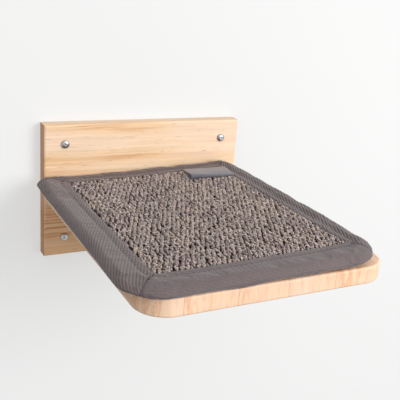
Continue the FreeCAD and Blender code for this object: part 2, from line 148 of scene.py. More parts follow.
def vectors(operation, first, second):
    inputs = {0: first, "Scale" if operation == "SCALE" else 1: second}
    return add(tree_of(first, second), "ShaderNodeVectorMath", inputs, operation=operation).outputs


def axes_of(vector):
    return list(add(vector.id_data, "ShaderNodeSeparateXYZ", {0: vector}).outputs)


def join(*values):
    return add(tree_of(*values), "ShaderNodeCombineXYZ", dict(enumerate(values))).outputs[0]


def noise(vector, scale, detail=3.0, roughness=0.5, distortion=0.0, turn=(0, 0, 0), move=(0, 0, 0)):
    """Noise of one scale, or of three scales, one for each axis, after a turn and a move."""
    if hasattr(scale, "__len__"):
        inputs = {"Vector": vector, "Scale": scale, "Rotation": turn, "Location": move}
        vector, scale = add(vector.id_data, "ShaderNodeMapping", inputs).outputs[0], 1.0
    inputs = {"Vector": vector, "Scale": scale, "Detail": detail, "Roughness": roughness,
              "Distortion": distortion}
    return add(vector.id_data, "ShaderNodeTexNoise", inputs).outputs[0]


def ramp(factor, *stops):
    """A colour ramp. Each stop is a place from 0 to 1 and a colour or a grey level."""
    made = add(factor.id_data, "ShaderNodeValToRGB", {"Fac": factor})
    elements = made.color_ramp.elements
    while len(elements) < len(stops):
        elements.new(0.5)
    for element, (place, colour) in zip(elements, stops):
        element.position = place
        element.color = (*colour, 1) if hasattr(colour, "__len__") else (*[colour] * 3, 1)
    return made.outputs[0]


def mix(factor, first, second, kind="MIX"):
    """Mix two colours, given as colours or as sockets."""
    made = add(tree_of(factor, first, second), "ShaderNodeMix", data_type="RGBA", blend_type=kind)
    for key, value in ((0, factor), (6, first), (7, second)):
        plug(made.inputs[key], (*value, 1) if isinstance(value, tuple) else value)
    return made.outputs[2]


def times(first, second):
    return mix(1.0, first, second, "MULTIPLY")


def new_finish(name):
    """A fresh material, and the coordinates of the object that wears it."""
    material = bpy.data.materials.new(name)
    material.use_nodes = True
    return material, add(material.node_tree, "ShaderNodeTexCoord").outputs["Object"]


def dress(material, colour, roughness, height=None, strength=0.5, distance=0.0003, sheen=0.0):
    """Plug a pattern into a material's shader: colour, roughness, relief and sheen."""
    shader = material.node_tree.nodes["Principled BSDF"]
    pattern = {"Base Color": colour, "Roughness": roughness, "Sheen Weight": sheen}
    if height:
        inputs = {"Height": height, "Strength": strength, "Distance": distance}
        pattern["Normal"] = add(material.node_tree, "ShaderNodeBump", inputs).outputs[0]
    for name, value in pattern.items():
        plug(shader.inputs[name], value)
    return material


def rgb(*levels):
    """A colour as a paint program shows it, from 0 to 255, in the linear light of shaders."""
    return tuple(((v / 255 + 0.055) / 1.055) ** 2.4 if v > 10 else v / 3294.6 for v in levels)


print("helpers ready, a mid grey is", [round(v, 3) for v in rgb(128, 128, 128)])

# %% [markdown]
# ## Wood
#
# Both boards are rubberwood, a pale hardwood. Along the grain it changes slowly, and
# across the grain quickly, so one noise stretched along the grain makes the broad
# streaks, a finer one the fibres, and a third, cut off high, the short dark pores.
# The noise is solid: on an end face it shows the cut ends of the same streaks.

# %% Wood finish
# painted shade under the shelf: its tint, and how far below the shelf it fades in
UNDER_SHELF_SHADE_TINT, UNDER_SHELF_SHADE_FADE = (0.80, 0.71, 0.60), 40 * MM
# BLUSH is a pale pink tone of the wood; the second colour darkens the board's end faces, partly as
# darker end grain and partly as painted shade
BLUSH, END_GRAIN_AND_SHADE = rgb(250, 214, 200), rgb(214, 186, 160)
BACK_WOOD = [rgb(250, 226, 200), rgb(247, 215, 178), rgb(240, 200, 154), rgb(206, 136, 80),
             rgb(160, 108, 68)]


def wood_colour(place, light, pale, middle, streak, pore):
    """Colour and relief of wood whose grain runs along the first axis of place, in metres."""
    bend = noise(place, (2.2, 9, 9), 2.0)
    offset = maths("MULTIPLY", maths("SUBTRACT", bend, 0.5), 0.020)
    waved = vectors("ADD", place, join(0.0, offset, offset))[0]
    broad = noise(waved, (1.6, 34, 34), 3.0, 0.55)
    fine = noise(waved, (7, 260, 260), 4.0, 0.6)
    lines = noise(waved, (3.5, 360, 360), 3.0, 0.6)
    zones = noise(waved, (3.0, 22, 22), 2.0, move=(0.3, 4, 2))
    pores = noise(waved, (70, 900, 900), 1.0)
    colour = ramp(broad, (0.32, middle), (0.46, pale), (0.60, pale), (0.72, light))
    drawn = ramp(lines, (0.47, 0.0), (0.54, 0.95), (0.59, 0.2), (0.66, 0.95))
    colour = mix(maths("MULTIPLY", drawn, ramp(zones, (0.44, 0.12), (0.58, 1.0))), colour, streak)
    blush = tuple(0.5 * a + 0.5 * b for a, b in zip(light, BLUSH))
    colour = mix(ramp(zones, (0.36, 0.40), (0.46, 0.0)), colour, blush)
    colour = times(colour, ramp(fine, (0.30, 0.88), (0.55, 1.0), (0.75, 1.04)))
    dots = ramp(pores, (0.68, 0.0), (0.75, 0.5))
    return mix(dots, colour, pore), fine, dots


def back_board_finish():
    material, place = new_finish("back_board_wood")
    colour, fine, dots = wood_colour(place, *BACK_WOOD)
    normal = add(material.node_tree, "ShaderNodeNewGeometry").outputs["True Normal"]
    # end faces darker: partly the wood's darker end grain, partly painted shade
    end = ramp(maths("ABSOLUTE", axes_of(normal)[0]), (0.80, 0.0), (0.97, 1.0))
    colour = mix(end, colour, times(colour, END_GRAIN_AND_SHADE))
    # painted shade and warm bounce light: below the shelf the board turns darker and more orange
    # downwards
    under_shelf_shade = maths("MULTIPLY_ADD", axes_of(place)[2], -1 / UNDER_SHELF_SHADE_FADE, 0.2)
    colour = mix(ramp(under_shelf_shade, (0.0, 0.0), (1.0, 1.0)), colour, times(colour, UNDER_SHELF_SHADE_TINT))
    return dress(material, colour, ramp(fine, (0.3, 0.42), (0.7, 0.56)),
                 maths("SUBTRACT", fine, dots), 0.25, 0.0004)


print("wood colours", [[round(v, 2) for v in colour] for colour in BACK_WOOD])

# %% [markdown]
# The shelf is glued up from staves that run from the wall to the front, so its front
# edge shows end grain, with a joint every few centimetres. The stave's number is the
# rounded-down place across the shelf. It moves the pattern sideways and changes its
# tint, so that every stave is cut from another part of the tree.

# %% Shelf finish
STAVE_WIDTH, STAVES_FROM = 52 * MM, 147 * MM
SHELF_WOOD = [rgb(251, 226, 204), rgb(248, 217, 192), rgb(246, 212, 184), rgb(232, 184, 148),
              rgb(196, 148, 112)]
STAVE_TINTS = [rgb(255, 242, 230), rgb(255, 250, 242), rgb(250, 236, 224)]
GLUE_LINE = rgb(196, 150, 112)


def shelf_finish():
    material, place = new_finish("shelf_board_wood")
    x, y, z = axes_of(place)
    across = maths("DIVIDE", maths("ADD", x, STAVES_FROM), STAVE_WIDTH)
    number = maths("FLOOR", across)
    tint = add(material.node_tree, "ShaderNodeTexWhiteNoise", {"W": number}, noise_dimensions="1D")
    turned = join(y, maths("ADD", x, maths("MULTIPLY", number, 0.37)),
                  maths("MULTIPLY_ADD", z, 0.14, maths("MULTIPLY", number, 0.21)))
    colour, fine, dots = wood_colour(turned, *SHELF_WOOD)
    colour = times(colour, ramp(tint.outputs[0], *zip((0.0, 0.5, 1.0), STAVE_TINTS)))
    edge = maths("ABSOLUTE", maths("SUBTRACT", maths("FRACT", across), 0.5))
    joint = ramp(edge, (0.490, 0.0), (0.497, 0.45))
    colour = mix(joint, colour, GLUE_LINE)
    return dress(material, colour, ramp(fine, (0.3, 0.42), (0.7, 0.58)),
                 maths("SUBTRACT", fine, maths("ADD", dots, joint)), 0.25, 0.0004)


def paint_node(name, material):
    """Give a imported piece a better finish, in its own material slots."""
    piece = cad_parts[name]
    if not piece.material_slots:
        piece.data.materials.append(material)
    for slot in piece.material_slots:
        slot.material = material


paint_node("back_board", back_board_finish())
paint_node("shelf_board", shelf_finish())
print("boards painted, staves", STAVE_WIDTH / MM, "mm wide")

# %% [markdown]
# ## Shape of the mat
#
# The mat lies a little too far to the left, and its right side has curled up off the
# shelf. All its pieces are made flat first, and then one function lifts each point by
# the curl at its place. That keeps the layers parallel, as they are in a sewn mat.

# %% Mat sizes and its curl
BINDING_WIDTHS = {"left": 34, "front": 34, "right": 26, "back": 26}
CORNER_RADII = {"back_left": 14, "front_left": 40, "front_right": 38, "back_right": 28}
corners = np.array([box("binding_" + side) for side in BINDING_WIDTHS])
MAT_LEFT, MAT_FRONT = corners[:, 0, :2].min(axis=0).tolist()
MAT_RIGHT, MAT_BACK = corners[:, 1, :2].max(axis=0).tolist()
MAT_BASE = float(corners[0, 0, 2])
LOW_CORNER, HIGH_CORNER = (MAT_LEFT, MAT_FRONT), (MAT_RIGHT, MAT_BACK)
CURL_START = MAT_LEFT + 65
CURL_BACK, CURL_FRONT, CURL_POWER = 9.0, 5.0, 1.4
CORNER_PULL, PULL_FROM, PULL_WIDTH, PULL_DEPTH = 4.0, -55, 90, 75


def lift_with_curl(points):
    """Lift points by the curl, and draw the mat's back left corner in as its sewing does."""
    lifted = np.array(points, float)
    x, y = lifted[:, 0].copy(), lifted[:, 1]
    along = (y - MAT_FRONT) / (MAT_BACK - MAT_FRONT)
    share = np.clip((x - CURL_START) / (MAT_RIGHT - CURL_START), 0, None) ** CURL_POWER
    lifted[:, 2] += (CURL_FRONT + (CURL_BACK - CURL_FRONT) * along) * share
    near_left = np.clip((PULL_FROM - x) / PULL_WIDTH, 0, 1)
    lifted[:, 0] += CORNER_PULL * near_left * np.exp(-(MAT_BACK - y) / PULL_DEPTH)
    return lifted


print("mat from", np.round(LOW_CORNER, 1), "to", np.round(HIGH_CORNER, 1))

# %% [markdown]
# ## From points to a piece
#
# Every sewn piece below is a grid of points, swept along a path. This cell turns such
# a grid into a mesh, with a UV map measured in metres of cloth, so that the ribs and
# threads of the fabric follow the tape and not the room.

# %% Mesh helpers
def make_piece(name, points, faces, material, uv=None, smooth=True):
    """A mesh object at the origin from points in millimetres."""
    mesh = bpy.data.meshes.new(name)
    mesh.from_pydata([tuple(point) for point in np.asarray(points) * MM], [], faces)
    if uv is not None:
        layer = mesh.uv_layers.new(name="cloth")
        corners = np.empty(len(mesh.loops), dtype=np.int32)
        mesh.loops.foreach_get("vertex_index", corners)
        layer.data.foreach_set("uv", (np.asarray(uv, float)[corners] * MM).ravel())
    mesh.polygons.foreach_set("use_smooth", [smooth] * len(mesh.polygons))
    mesh.materials.append(material)
    mesh.update()
    return put_in_scene(name, mesh)


def tube_faces(stations, ring, first=0, closed=True):
    """Faces of a tube of rings that starts at a vertex; closed, it gets a face at each end."""
    faces = []
    for a in range(first, first + (stations - 1) * ring, ring):
        for j in range(ring):
            k = (j + 1) % ring
            faces.append((a + j, a + ring + j, a + ring + k, a + k))
    if closed:
        last = first + (stations - 1) * ring
        faces += [tuple(range(first, first + ring)), tuple(range(last, last + ring))]
    return faces


def outward(piece):
    """Turn all the faces of a closed piece outwards."""
    work = bmesh.new()
    work.from_mesh(piece.data)
    bmesh.ops.recalc_face_normals(work, faces=work.faces)
    work.to_mesh(piece.data)
    work.free()
    return piece


def finish_piece(piece, body, slot, *nodes):
    """What every finished piece needs: its body and the nodes it stands for; the slot argument is
    not used.
    """
    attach(piece, body)
    if nodes:
        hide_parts(*nodes)
    return piece


print("mesh helpers ready")

# %% [markdown]
# ## Path of the binding
#
# The tape runs round the mat's rounded outline. For every step along one side we keep
# the point of the edge, the way inwards, and the tape's inner point. Each side starts
# and ends in the middle of a corner, where the tape is mitred.

# %% Stations round the mat
SIDES = {
    "right": ("front_right", "back_right", (0, 1)),
    "back": ("back_right", "back_left", (-1, 0)),
    "left": ("back_left", "front_left", (0, -1)),
    "front": ("front_left", "front_right", (1, 0)),
}
BEFORE = {"right": "front", "back": "right", "left": "back", "front": "left"}
AFTER = {first: second for second, first in BEFORE.items()}
STEP, INNER_RADIUS = 1.3, 4.0


def side_frame(side):
    """The way along a side, the way out of it, and the square corner where it starts."""
    travel = np.array(SIDES[side][2], float)
    out = np.array((travel[1], -travel[0]))
    return travel, out, np.where(travel - out > 0, LOW_CORNER, HIGH_CORNER)


def corner_half(radius, own_width, other_width):
    """Half a corner, from the mitre to the straight: distances from the square corner."""
    made = []
    for a in np.linspace(math.pi / 4, 0, max(4, round(radius * math.pi / 4 / STEP)) + 1):
        sine, cosine = math.sin(a), math.cos(a)
        made.append((radius - radius * sine, radius - radius * cosine, sine, cosine,
                     other_width + INNER_RADIUS * (1 - sine),
                     own_width + INNER_RADIUS * (1 - cosine)))
    return np.array(made)


def side_stations(side):
    """From mitre to mitre: the edge's points, the ways inwards and the tape's inner points."""
    first, last, _ = SIDES[side]
    travel, out, corner = side_frame(side)
    size = abs(travel @ (MAT_RIGHT - MAT_LEFT, MAT_BACK - MAT_FRONT))
    width = BINDING_WIDTHS[side]
    start = corner_half(CORNER_RADII[first], width, BINDING_WIDTHS[BEFORE[side]])
    end = corner_half(CORNER_RADII[last], width, BINDING_WIDTHS[AFTER[side]])[::-1]
    end[:, 0], end[:, 4], end[:, 2] = size - end[:, 0], size - end[:, 4], -end[:, 2]
    low, high = start[-1, 0], end[0, 0]
    s = np.linspace(low, high, max(2, round((high - low) / STEP)) + 1)[1:-1]
    fan = [(start[-1, 4] - low, low), (end[0, 4] - high, high)]
    inner = s + sum(gap * np.exp(-np.abs(s - at) / max(1.3 * abs(gap), 8)) for gap, at in fan)
    flat = np.zeros_like(s)
    rows = np.vstack([start, np.column_stack([s, flat, flat, flat + 1, inner, flat + width]), end])

    def placed(along, across):
        return corner + along[:, None] * travel - across[:, None] * out

    inwards = rows[:, 2:3] * travel - rows[:, 3:4] * out
    return placed(rows[:, 0], rows[:, 1]), inwards, placed(rows[:, 4], rows[:, 5])


stations = {side: side_stations(side) for side in SIDES}
print({side: len(rows[0]) for side, rows in stations.items()})

# %% [markdown]
# ## Section of the binding
#
# Cut across, the tape lies flat where it is sewn over the sisal, dips along the line
# of stitches, swells over the padding, rolls round the rim and returns underneath. A
# slot at its inner side takes the edges of the mat's layers. A few points, joined by a
# smooth curve and divided evenly, give that outline.

# %% Section outline
TOP, BASE = 21.25, MAT_BASE
SLOT_TOP, SLOT_BASE, LAP = 18.4, 11.35, 12.0
STITCH_INSET, SKIN_STEP, SKIN_COUNT = 8.5, 0.62, 92


def smooth_line(points, step):
    """Even steps along a smooth curve through the points, and the length at each."""
    points = np.asarray(points, float)
    along = np.concatenate([[0], np.cumsum(np.linalg.norm(np.diff(points, axis=0), axis=1))])
    slopes = np.gradient(points, along, axis=0)
    fine = np.linspace(0, along[-1], 600)
    index = np.clip(np.searchsorted(along, fine, side="right") - 1, 0, len(points) - 2)
    h = (along[index + 1] - along[index])[:, None]
    t = ((fine - along[index]) / h[:, 0])[:, None]
    curve = ((2 * t**3 - 3 * t**2 + 1) * points[index] + (t**3 - 2 * t**2 + t) * h * slopes[index]
             + (-2 * t**3 + 3 * t**2) * points[index + 1] + (t**3 - t**2) * h * slopes[index + 1])
    length = np.concatenate([[0], np.cumsum(np.linalg.norm(np.diff(curve, axis=0), axis=1))])
    even = np.linspace(0, length[-1], max(2, round(length[-1] / step)) + 1)
    return np.column_stack([np.interp(even, length, curve[:, k]) for k in range(2)]), even


def section(width):
    """Inset from the rim and height of each point, and the cloth's length over the skin."""
    sewn = min(STITCH_INSET, width / 3)
    upper = [(width, TOP - 1.7), (width - 0.9, TOP - 1.0), (width - sewn / 2, TOP - 0.7),
             (width - sewn, TOP - 0.95), (width - sewn - 3, TOP + 0.15),
             (max(width - sewn - 8, 13.5), TOP + 0.75), (10.5, TOP + 0.75), (7.4, TOP + 0.35),
             (4.4, TOP - 1.0), (1.8, TOP - 3.2), (0.3, TOP - 5.4), (0, 15.4), (0.5, 13.4),
             (1.9, 11.5), (4.4, 10.0), (7.5, BASE)]
    skin, length = smooth_line(upper, SKIN_STEP)
    share = np.linspace(0, length[-1], SKIN_COUNT)
    skin = np.column_stack([np.interp(share, length, skin[:, k]) for k in range(2)])
    under = [(11, BASE), (16, BASE), (width - 3, BASE), (width, BASE + 0.3), (width, SLOT_BASE),
             (width - LAP, SLOT_BASE), (width - LAP, SLOT_TOP), (width, SLOT_TOP)]
    return np.vstack([skin, under]), share


print("section of", len(section(34)[0]), "points,", round(section(34)[1][-1], 1), "mm of cloth")

# %% [markdown]
# ## Padding, blown up as cloth
#
# A section swept along a path looks like a plastic pipe. Real tape is sewn down in one
# line and swells between its stitches. So a coarse copy of each side is made a cloth,
# held at its edges and at every stitch, cut a little too large and blown up from inside
# for eighteen frames. Only how far each point has moved is kept, and is added to the
# fine mesh.

# %% Billow of the tape
STITCH_PITCH = 5.2
BILLOW_ROWS, BILLOW_COLUMNS, BILLOW_FRAMES = 2, 4, 18
BILLOW_LIMIT = 0.9
PLAIN_CLAY = bpy.data.materials.new("plain_clay")


def cloth_sheet(side, grid, held):
    """A sheet of cloth from a grid of points, held where the grid of weights says."""
    rows, columns = grid.shape[:2]
    faces = [(k, k + 1, k + columns + 1, k + columns)
             for i in range(rows - 1) for k in range(i * columns, (i + 1) * columns - 1)]
    sheet = make_piece("billow_" + side, grid.reshape(-1, 3), faces, PLAIN_CLAY)
    upper = sheet.data.polygons[(rows // 2) * (columns - 1) + columns // 3]
    if upper.normal.z < 0:
        sheet.data.flip_normals()
    group = sheet.vertex_groups.new(name="held")
    for index, weight in enumerate(held.ravel()):
        group.add([index], float(weight), "REPLACE")
    return sheet


def read_points(mesh):
    """A mesh's points, in millimetres."""
    flat = np.empty(len(mesh.vertices) * 3)
    mesh.vertices.foreach_get("co", flat)
    return flat.reshape(-1, 3) / MM


def blow_up(sheet):
    """Run the cloth and read where its points end up."""
    cloth = sheet.modifiers.new("cloth", "CLOTH")
    settings = cloth.settings
    settings.quality, settings.mass = 5, 0.25
    settings.tension_stiffness = settings.compression_stiffness = 12.0
    settings.shear_stiffness, settings.bending_stiffness = 6.0, 0.6
    settings.vertex_group_mass, settings.shrink_min = "held", -0.010
    settings.use_pressure, settings.uniform_pressure_force = True, 2.2
    settings.effector_weights.gravity = 0.0
    cloth.collision_settings.use_collision = False
    cloth.point_cache.frame_start, cloth.point_cache.frame_end = 1, BILLOW_FRAMES
    for number in range(1, BILLOW_FRAMES + 1):
        bpy.context.scene.frame_set(number)
    made = read_points(sheet.evaluated_get(bpy.context.evaluated_depsgraph_get()).data)
    mesh = sheet.data
    bpy.data.objects.remove(sheet)
    bpy.data.meshes.remove(mesh)
    bpy.context.scene.frame_set(1)
    return made


def spread(values, places, count):
    """Fill in a grid's missing rows between the known ones."""
    flat = values.reshape(len(values), -1)
    every = np.arange(count)
    full = np.column_stack([np.interp(every, places, column) for column in flat.T])
    return full.reshape(count, *values.shape[1:])


def billow(side, base):
    """How far the cloth has swollen from the plain section, for every point of it."""
    moved_by = np.zeros_like(base)
    rows = np.unique(np.append(np.arange(0, len(base), BILLOW_ROWS), len(base) - 1))
    columns = np.unique(np.append(np.arange(0, SKIN_COUNT, BILLOW_COLUMNS), SKIN_COUNT - 1))
    grid = base[np.ix_(rows, columns)]
    inset = np.linalg.norm(grid[:, :, :2] - grid[:, :1, :2], axis=2)
    held = np.zeros(grid.shape[:2])
    held[[0, -1], :] = held[:, [0, -1]] = 1
    seam = np.abs(inset - STITCH_INSET).argmin(axis=1)
    every = max(1, round(STITCH_PITCH / (STEP * BILLOW_ROWS)))
    held[np.arange(0, len(rows), every), seam[::every]] = 1
    moved = blow_up(cloth_sheet(side, grid, held)).reshape(grid.shape) - grid
    length = np.linalg.norm(moved, axis=2, keepdims=True)
    moved *= np.minimum(1, BILLOW_LIMIT / (length + 1e-9))
    full = spread(spread(moved, rows, len(base)).swapaxes(0, 1), columns, SKIN_COUNT)
    moved_by[:, :SKIN_COUNT] = full.swapaxes(0, 1)
    print(side, "swells by up to", round(float(np.linalg.norm(moved_by, axis=2).max()), 2), "mm")
    return moved_by


print("cloth step", "ready")

# %% [markdown]
# ## Twill ribs
#
# The tape is a coarse twill: its ribs run at 25 degrees to its length, and they point
# another way on each side of the mat. They are real relief here, strong at the sides
# and worn flat at the front and back. A point's height is worked out from where it lies
# on the straight tape, so the ribs meet at an angle along the mitres, as on a sewn corner.

# %% Sweep the binding
RIB_PITCH, RIB_ANGLE, RIB_DEPTH = 2.85, math.radians(25), 0.26
RIB_SHARE = {"left": 1.15, "right": 1.5, "front": 0.25, "back": 0.2}
BUMP_PLACE, BUMP_RISE, BUMP_SPREAD = (MAT_RIGHT - 15, MAT_BACK - 11), 1.7, 130
DENT_PLACE, DENT_DEPTH, DENT_SPREAD = (MAT_LEFT + 13, MAT_FRONT + 22), 2.0, 60
MITRE_DEPTH, MITRE_WIDTH = 1.1, 1.5


def base_grid(side):
    """The plain section swept round one side, and the tape's own flat coordinates."""
    travel, out, corner = side_frame(side)
    base, uv = [], []
    for edge, inwards, inner in zip(*stations[side]):
        width = math.dist(edge, inner)
        outline, length = section(width)
        share = np.clip(outline[:, :1] / width, 0, 1)
        bend = share * share * (3 - 2 * share)
        xy = edge + outline[:, :1] * inwards + (inner - edge - width * inwards) * bend
        base.append(np.column_stack([xy, outline[:, 1]]))
        under = length[-1] + np.linspace(3, 40, len(outline) - len(length))
        extra = np.concatenate([length, under]) - (width - outline[:, 0])
        uv.append(np.column_stack([
            xy @ travel, xy @ out - corner @ out + BINDING_WIDTHS[side] + extra]))
    return np.array(base), np.array(uv)


def surface_normals(grid):
    normal = np.cross(np.gradient(grid, axis=0), np.gradient(grid, axis=1))
    normal /= np.linalg.norm(normal, axis=2, keepdims=True) + 1e-9
    return -normal if normal[len(grid) // 2, 20, 2] < 0 else normal


def puckers(side, s, t):
    """Slow swells of the padding, and the pull of the stitches, in millimetres."""
    swell = 0.35 * np.sin(s / 17 + 1.3 * len(side)) * np.sin(s / 7.1 + 0.4)
    swell += 0.2 * np.sin(s / 31 + t / 9)
    pull = 0.20 * np.sin(2 * np.pi * s / STITCH_PITCH) * np.exp(-((t - STITCH_INSET) / 3.0) ** 2)
    return swell * np.exp(-((t - 20) / 14) ** 2) + pull


def hill(base, place, height, width):
    """A soft round rise at one place of the mat."""
    return height * np.exp(-((base[..., :2] - place) ** 2).sum(axis=2) / width)


def sweep_binding(side):
    base, uv = base_grid(side)
    base = base + billow(side, base)
    s, t = uv[..., 0], uv[..., 1]
    phase = np.pi / RIB_PITCH * (-s * math.sin(RIB_ANGLE) + t * math.cos(RIB_ANGLE))
    rib = RIB_DEPTH * RIB_SHARE[side] * (np.abs(np.sin(phase)) ** 0.8 - 0.6)
    row, column = np.arange(len(base)), np.arange(base.shape[1])
    fade = np.clip((SKIN_COUNT - 2 - column) / 5, 0, 1) * np.clip(column / 2, 0, 1)
    bump = hill(base, BUMP_PLACE, BUMP_RISE, BUMP_SPREAD)
    dent = hill(base, DENT_PLACE, DENT_DEPTH, DENT_SPREAD)
    end = np.minimum(row, row[::-1])[:, None] * STEP
    mitre = MITRE_DEPTH * np.exp(-(end / MITRE_WIDTH) ** 2) * (1 + 0.25 * bump)
    height = (rib + puckers(side, s, t) + bump - dent - mitre) * fade
    return base + surface_normals(base) * height[..., None], uv


binding_points = {side: sweep_binding(side) for side in SIDES}
print({side: rows[0].shape for side, rows in binding_points.items()})

# %% [markdown]
# The cloth is a warm grey. Its threads are too fine for the mesh, so the material
# draws them in the tape's own coordinates: dark between the ribs, as painted shade, with
# fine slanting threads on each, and slow fading where it has been handled. Each side's
# grey is set a little lighter or darker as painted light and shade, and the grooves are
# darkest on the right, where the ribs stand out most.

# %% Twill finish
# each side's cloth, lighter or darker as painted light and shade; the grooves between its ribs,
# painted as shade; its lighter threads; and its relief
TWILLS = {
    "left": (rgb(112, 99, 99), rgb(76, 66, 66), rgb(136, 122, 122), 0.7),
    "right": (rgb(116, 103, 103), rgb(46, 38, 38), rgb(138, 124, 124), 1.0),
    "front": (rgb(104, 91, 92), rgb(94, 82, 83), rgb(128, 115, 116), 0.1),
    "back": (rgb(94, 79, 77), rgb(84, 70, 68), rgb(114, 98, 95), 0.1),
}


def cloth_uv(tree):
    return add(tree, "ShaderNodeUVMap", uv_map="cloth").outputs[0]


def twill_finish(side):
    colour, groove_shade, light, relief = TWILLS[side]
    material, place = new_finish("binding_twill_" + side)
    flat = cloth_uv(material.node_tree)
    s, t, _ = axes_of(flat)
    turns = math.pi / (RIB_PITCH * MM)
    across = maths("MULTIPLY", s, -math.sin(RIB_ANGLE) * turns)
    phase = maths("MULTIPLY_ADD", t, math.cos(RIB_ANGLE) * turns, across)
    rib = maths("ABSOLUTE", maths("SINE", phase))
    threads = noise(flat, (500, 2100, 1), 3.0, 0.6, turn=(0, 0, 0.9))
    # painted shade between the ribs: the grooves take a darker colour
    base = mix(ramp(rib, (0.12, 0.0), (0.80, 1.0)), groove_shade, colour)
    base = mix(ramp(threads, (0.45, 0.0), (0.75, 0.55)), base, light)
    base = times(base, ramp(noise(place, 22.0, 3.0, 0.6), (0.3, 0.90), (0.7, 1.06)))
    return dress(material, base, 0.88, maths("MULTIPLY_ADD", rib, relief, threads), sheen=0.25)


def make_binding(side):
    points, uv = binding_points[side]
    count, ring = points.shape[:2]
    made = make_piece("mat_binding_" + side, lift_with_curl(points.reshape(-1, 3)),
                      tube_faces(count, ring), twill_finish(side), uv.reshape(-1, 2))
    finish_piece(outward(made), MAT, "binding_twill", "binding_" + side)
    return made


bindings = [make_binding(side) for side in SIDES]
print({piece.name: len(piece.data.polygons) for piece in bindings})

# %% [markdown]
# ## Layers inside
#
# Under the sisal lie a felt core and a backing cloth. Their edges are hidden in the
# tape, and the backing shows from below, so it gets the texture of a plain weave: two
# sets of threads, drawn by two waves and a noise for the yarn's unevenness. A slab is
# an outline with rounded corners, swept in rings, softly eased and lifted by the curl.

# %% Layer slabs
LAYER_RADII = (13, 7, 17, 23)


def rounded_outline(low, high, radii, step=4.0):
    """Points round a rectangle with rounded corners, anticlockwise, in millimetres."""
    line = []
    (left, front), (right, back) = low[:2], high[:2]
    quarters = ((right, back, 0), (left, back, 90), (left, front, 180), (right, front, 270))
    for (x, y, start), radius in zip(quarters, radii):
        centre_x = x - radius if start in (0, 270) else x + radius
        centre_y = y - radius if start in (0, 90) else y + radius
        for a in np.radians(np.linspace(start, start + 90, max(3, int(radius / 1.5)))):
            line.append((centre_x + radius * math.cos(a), centre_y + radius * math.sin(a)))
    line = np.array(line + line[:1])
    along = np.concatenate([[0], np.cumsum(np.linalg.norm(np.diff(line, axis=0), axis=1))])
    even = np.linspace(0, along[-1], round(along[-1] / step), endpoint=False)
    return np.column_stack([np.interp(even, along, line[:, k]) for k in range(2)])


def make_slab(name, outline, low, high, material, ease=0.4, step=6.0, curled=True):
    """A soft-edged slab with a gridded top and bottom, so that it can follow the curl."""
    centre = outline.mean(axis=0)
    half = np.abs(outline - centre).max()
    count = max(3, int(half / step))
    shares = [*np.linspace(1 / count, 1, count)[:-1], 1 - ease / half]
    levels = [(share, low) for share in shares] + [(1, low + ease), (1, high - ease)]
    levels += [(share, high) for share in shares[::-1]]
    points = [(*(centre + (point - centre) * share), z) for share, z in levels for point in outline]
    ring, last = len(outline), (len(levels) - 1) * len(outline)
    faces = tube_faces(len(levels), ring, closed=False)
    for first, hub, z in ((0, len(points), low), (last, len(points) + 1, high)):
        faces += [(first + i, first + (i + 1) % ring, hub) for i in range(ring)]
        points.append((*centre, z))
    points = lift_with_curl(points) if curled else points
    return outward(make_piece(name, points, faces, material, smooth=False))


def plain_weave_finish(name, colour, dark, pitch):
    material, place = new_finish(name)
    x, y, _ = axes_of(place)
    waves = [maths("SINE", maths("MULTIPLY", axis, 2 * math.pi / pitch)) for axis in (x, y)]
    cross = maths("MULTIPLY_ADD", maths("MULTIPLY", *waves), 0.5, 0.5)
    uneven = noise(place, 900.0, 3.0, 0.6)
    base = mix(ramp(cross, (0.1, 0.0), (0.6, 1.0)), dark, colour)
    base = times(base, ramp(uneven, (0.3, 0.82), (0.7, 1.1)))
    base = times(base, ramp(noise(place, 14.0, 3.0, 0.6), (0.3, 0.90), (0.7, 1.05)))
    return dress(material, base, 0.9, maths("ADD", cross, uneven), 0.6)


def felt_finish():
    material, place = new_finish("felt_core")
    fibres = noise(place, 700.0, 5.0, 0.7, 1.5)
    base = ramp(fibres, (0.3, rgb(112, 106, 100)), (0.6, rgb(146, 138, 130)),
                (0.8, rgb(176, 168, 158)))
    base = times(base, ramp(noise(place, 45.0, 4.0, 0.6), (0.3, 0.88), (0.7, 1.05)))
    return dress(material, base, 0.95, fibres, 0.7, 0.0005)


layer_outline = rounded_outline(*box("sisal_panel"), LAYER_RADII)
canvas = plain_weave_finish("backing_cloth", rgb(96, 90, 88), rgb(52, 48, 47), 1.3 * MM)
backing = make_slab("mat_backing_cloth", layer_outline, 11.45, 12.4, canvas)
finish_piece(backing, MAT, "backing_cloth", "mat_backing")
core = make_slab("mat_felt_core", layer_outline, 12.5, 15.6, felt_finish(), 0.8)
finish_piece(core, MAT, "felt_core", "mat_core")
low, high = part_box("mat_backing")
print("layers", len(backing.data.polygons), len(core.data.polygons))

# %% [markdown]
# ## Growing things with Geometry Nodes
#
# Loops, stitches and fibres repeat by the thousand. A Geometry Nodes tree places
# copies of a small shape on points, turns and sizes each one by a fixed random seed,
# and joins them. Because the finished model can't hold instances, the tree ends by
# making them real, and the result is read back as a plain mesh.

# %% Geometry Nodes helpers
SOCKET_KINDS = {int: "Int", float: "Float", bpy.types.Object: "Object",
                bpy.types.Collection: "Collection", bpy.types.Material: "Material"}


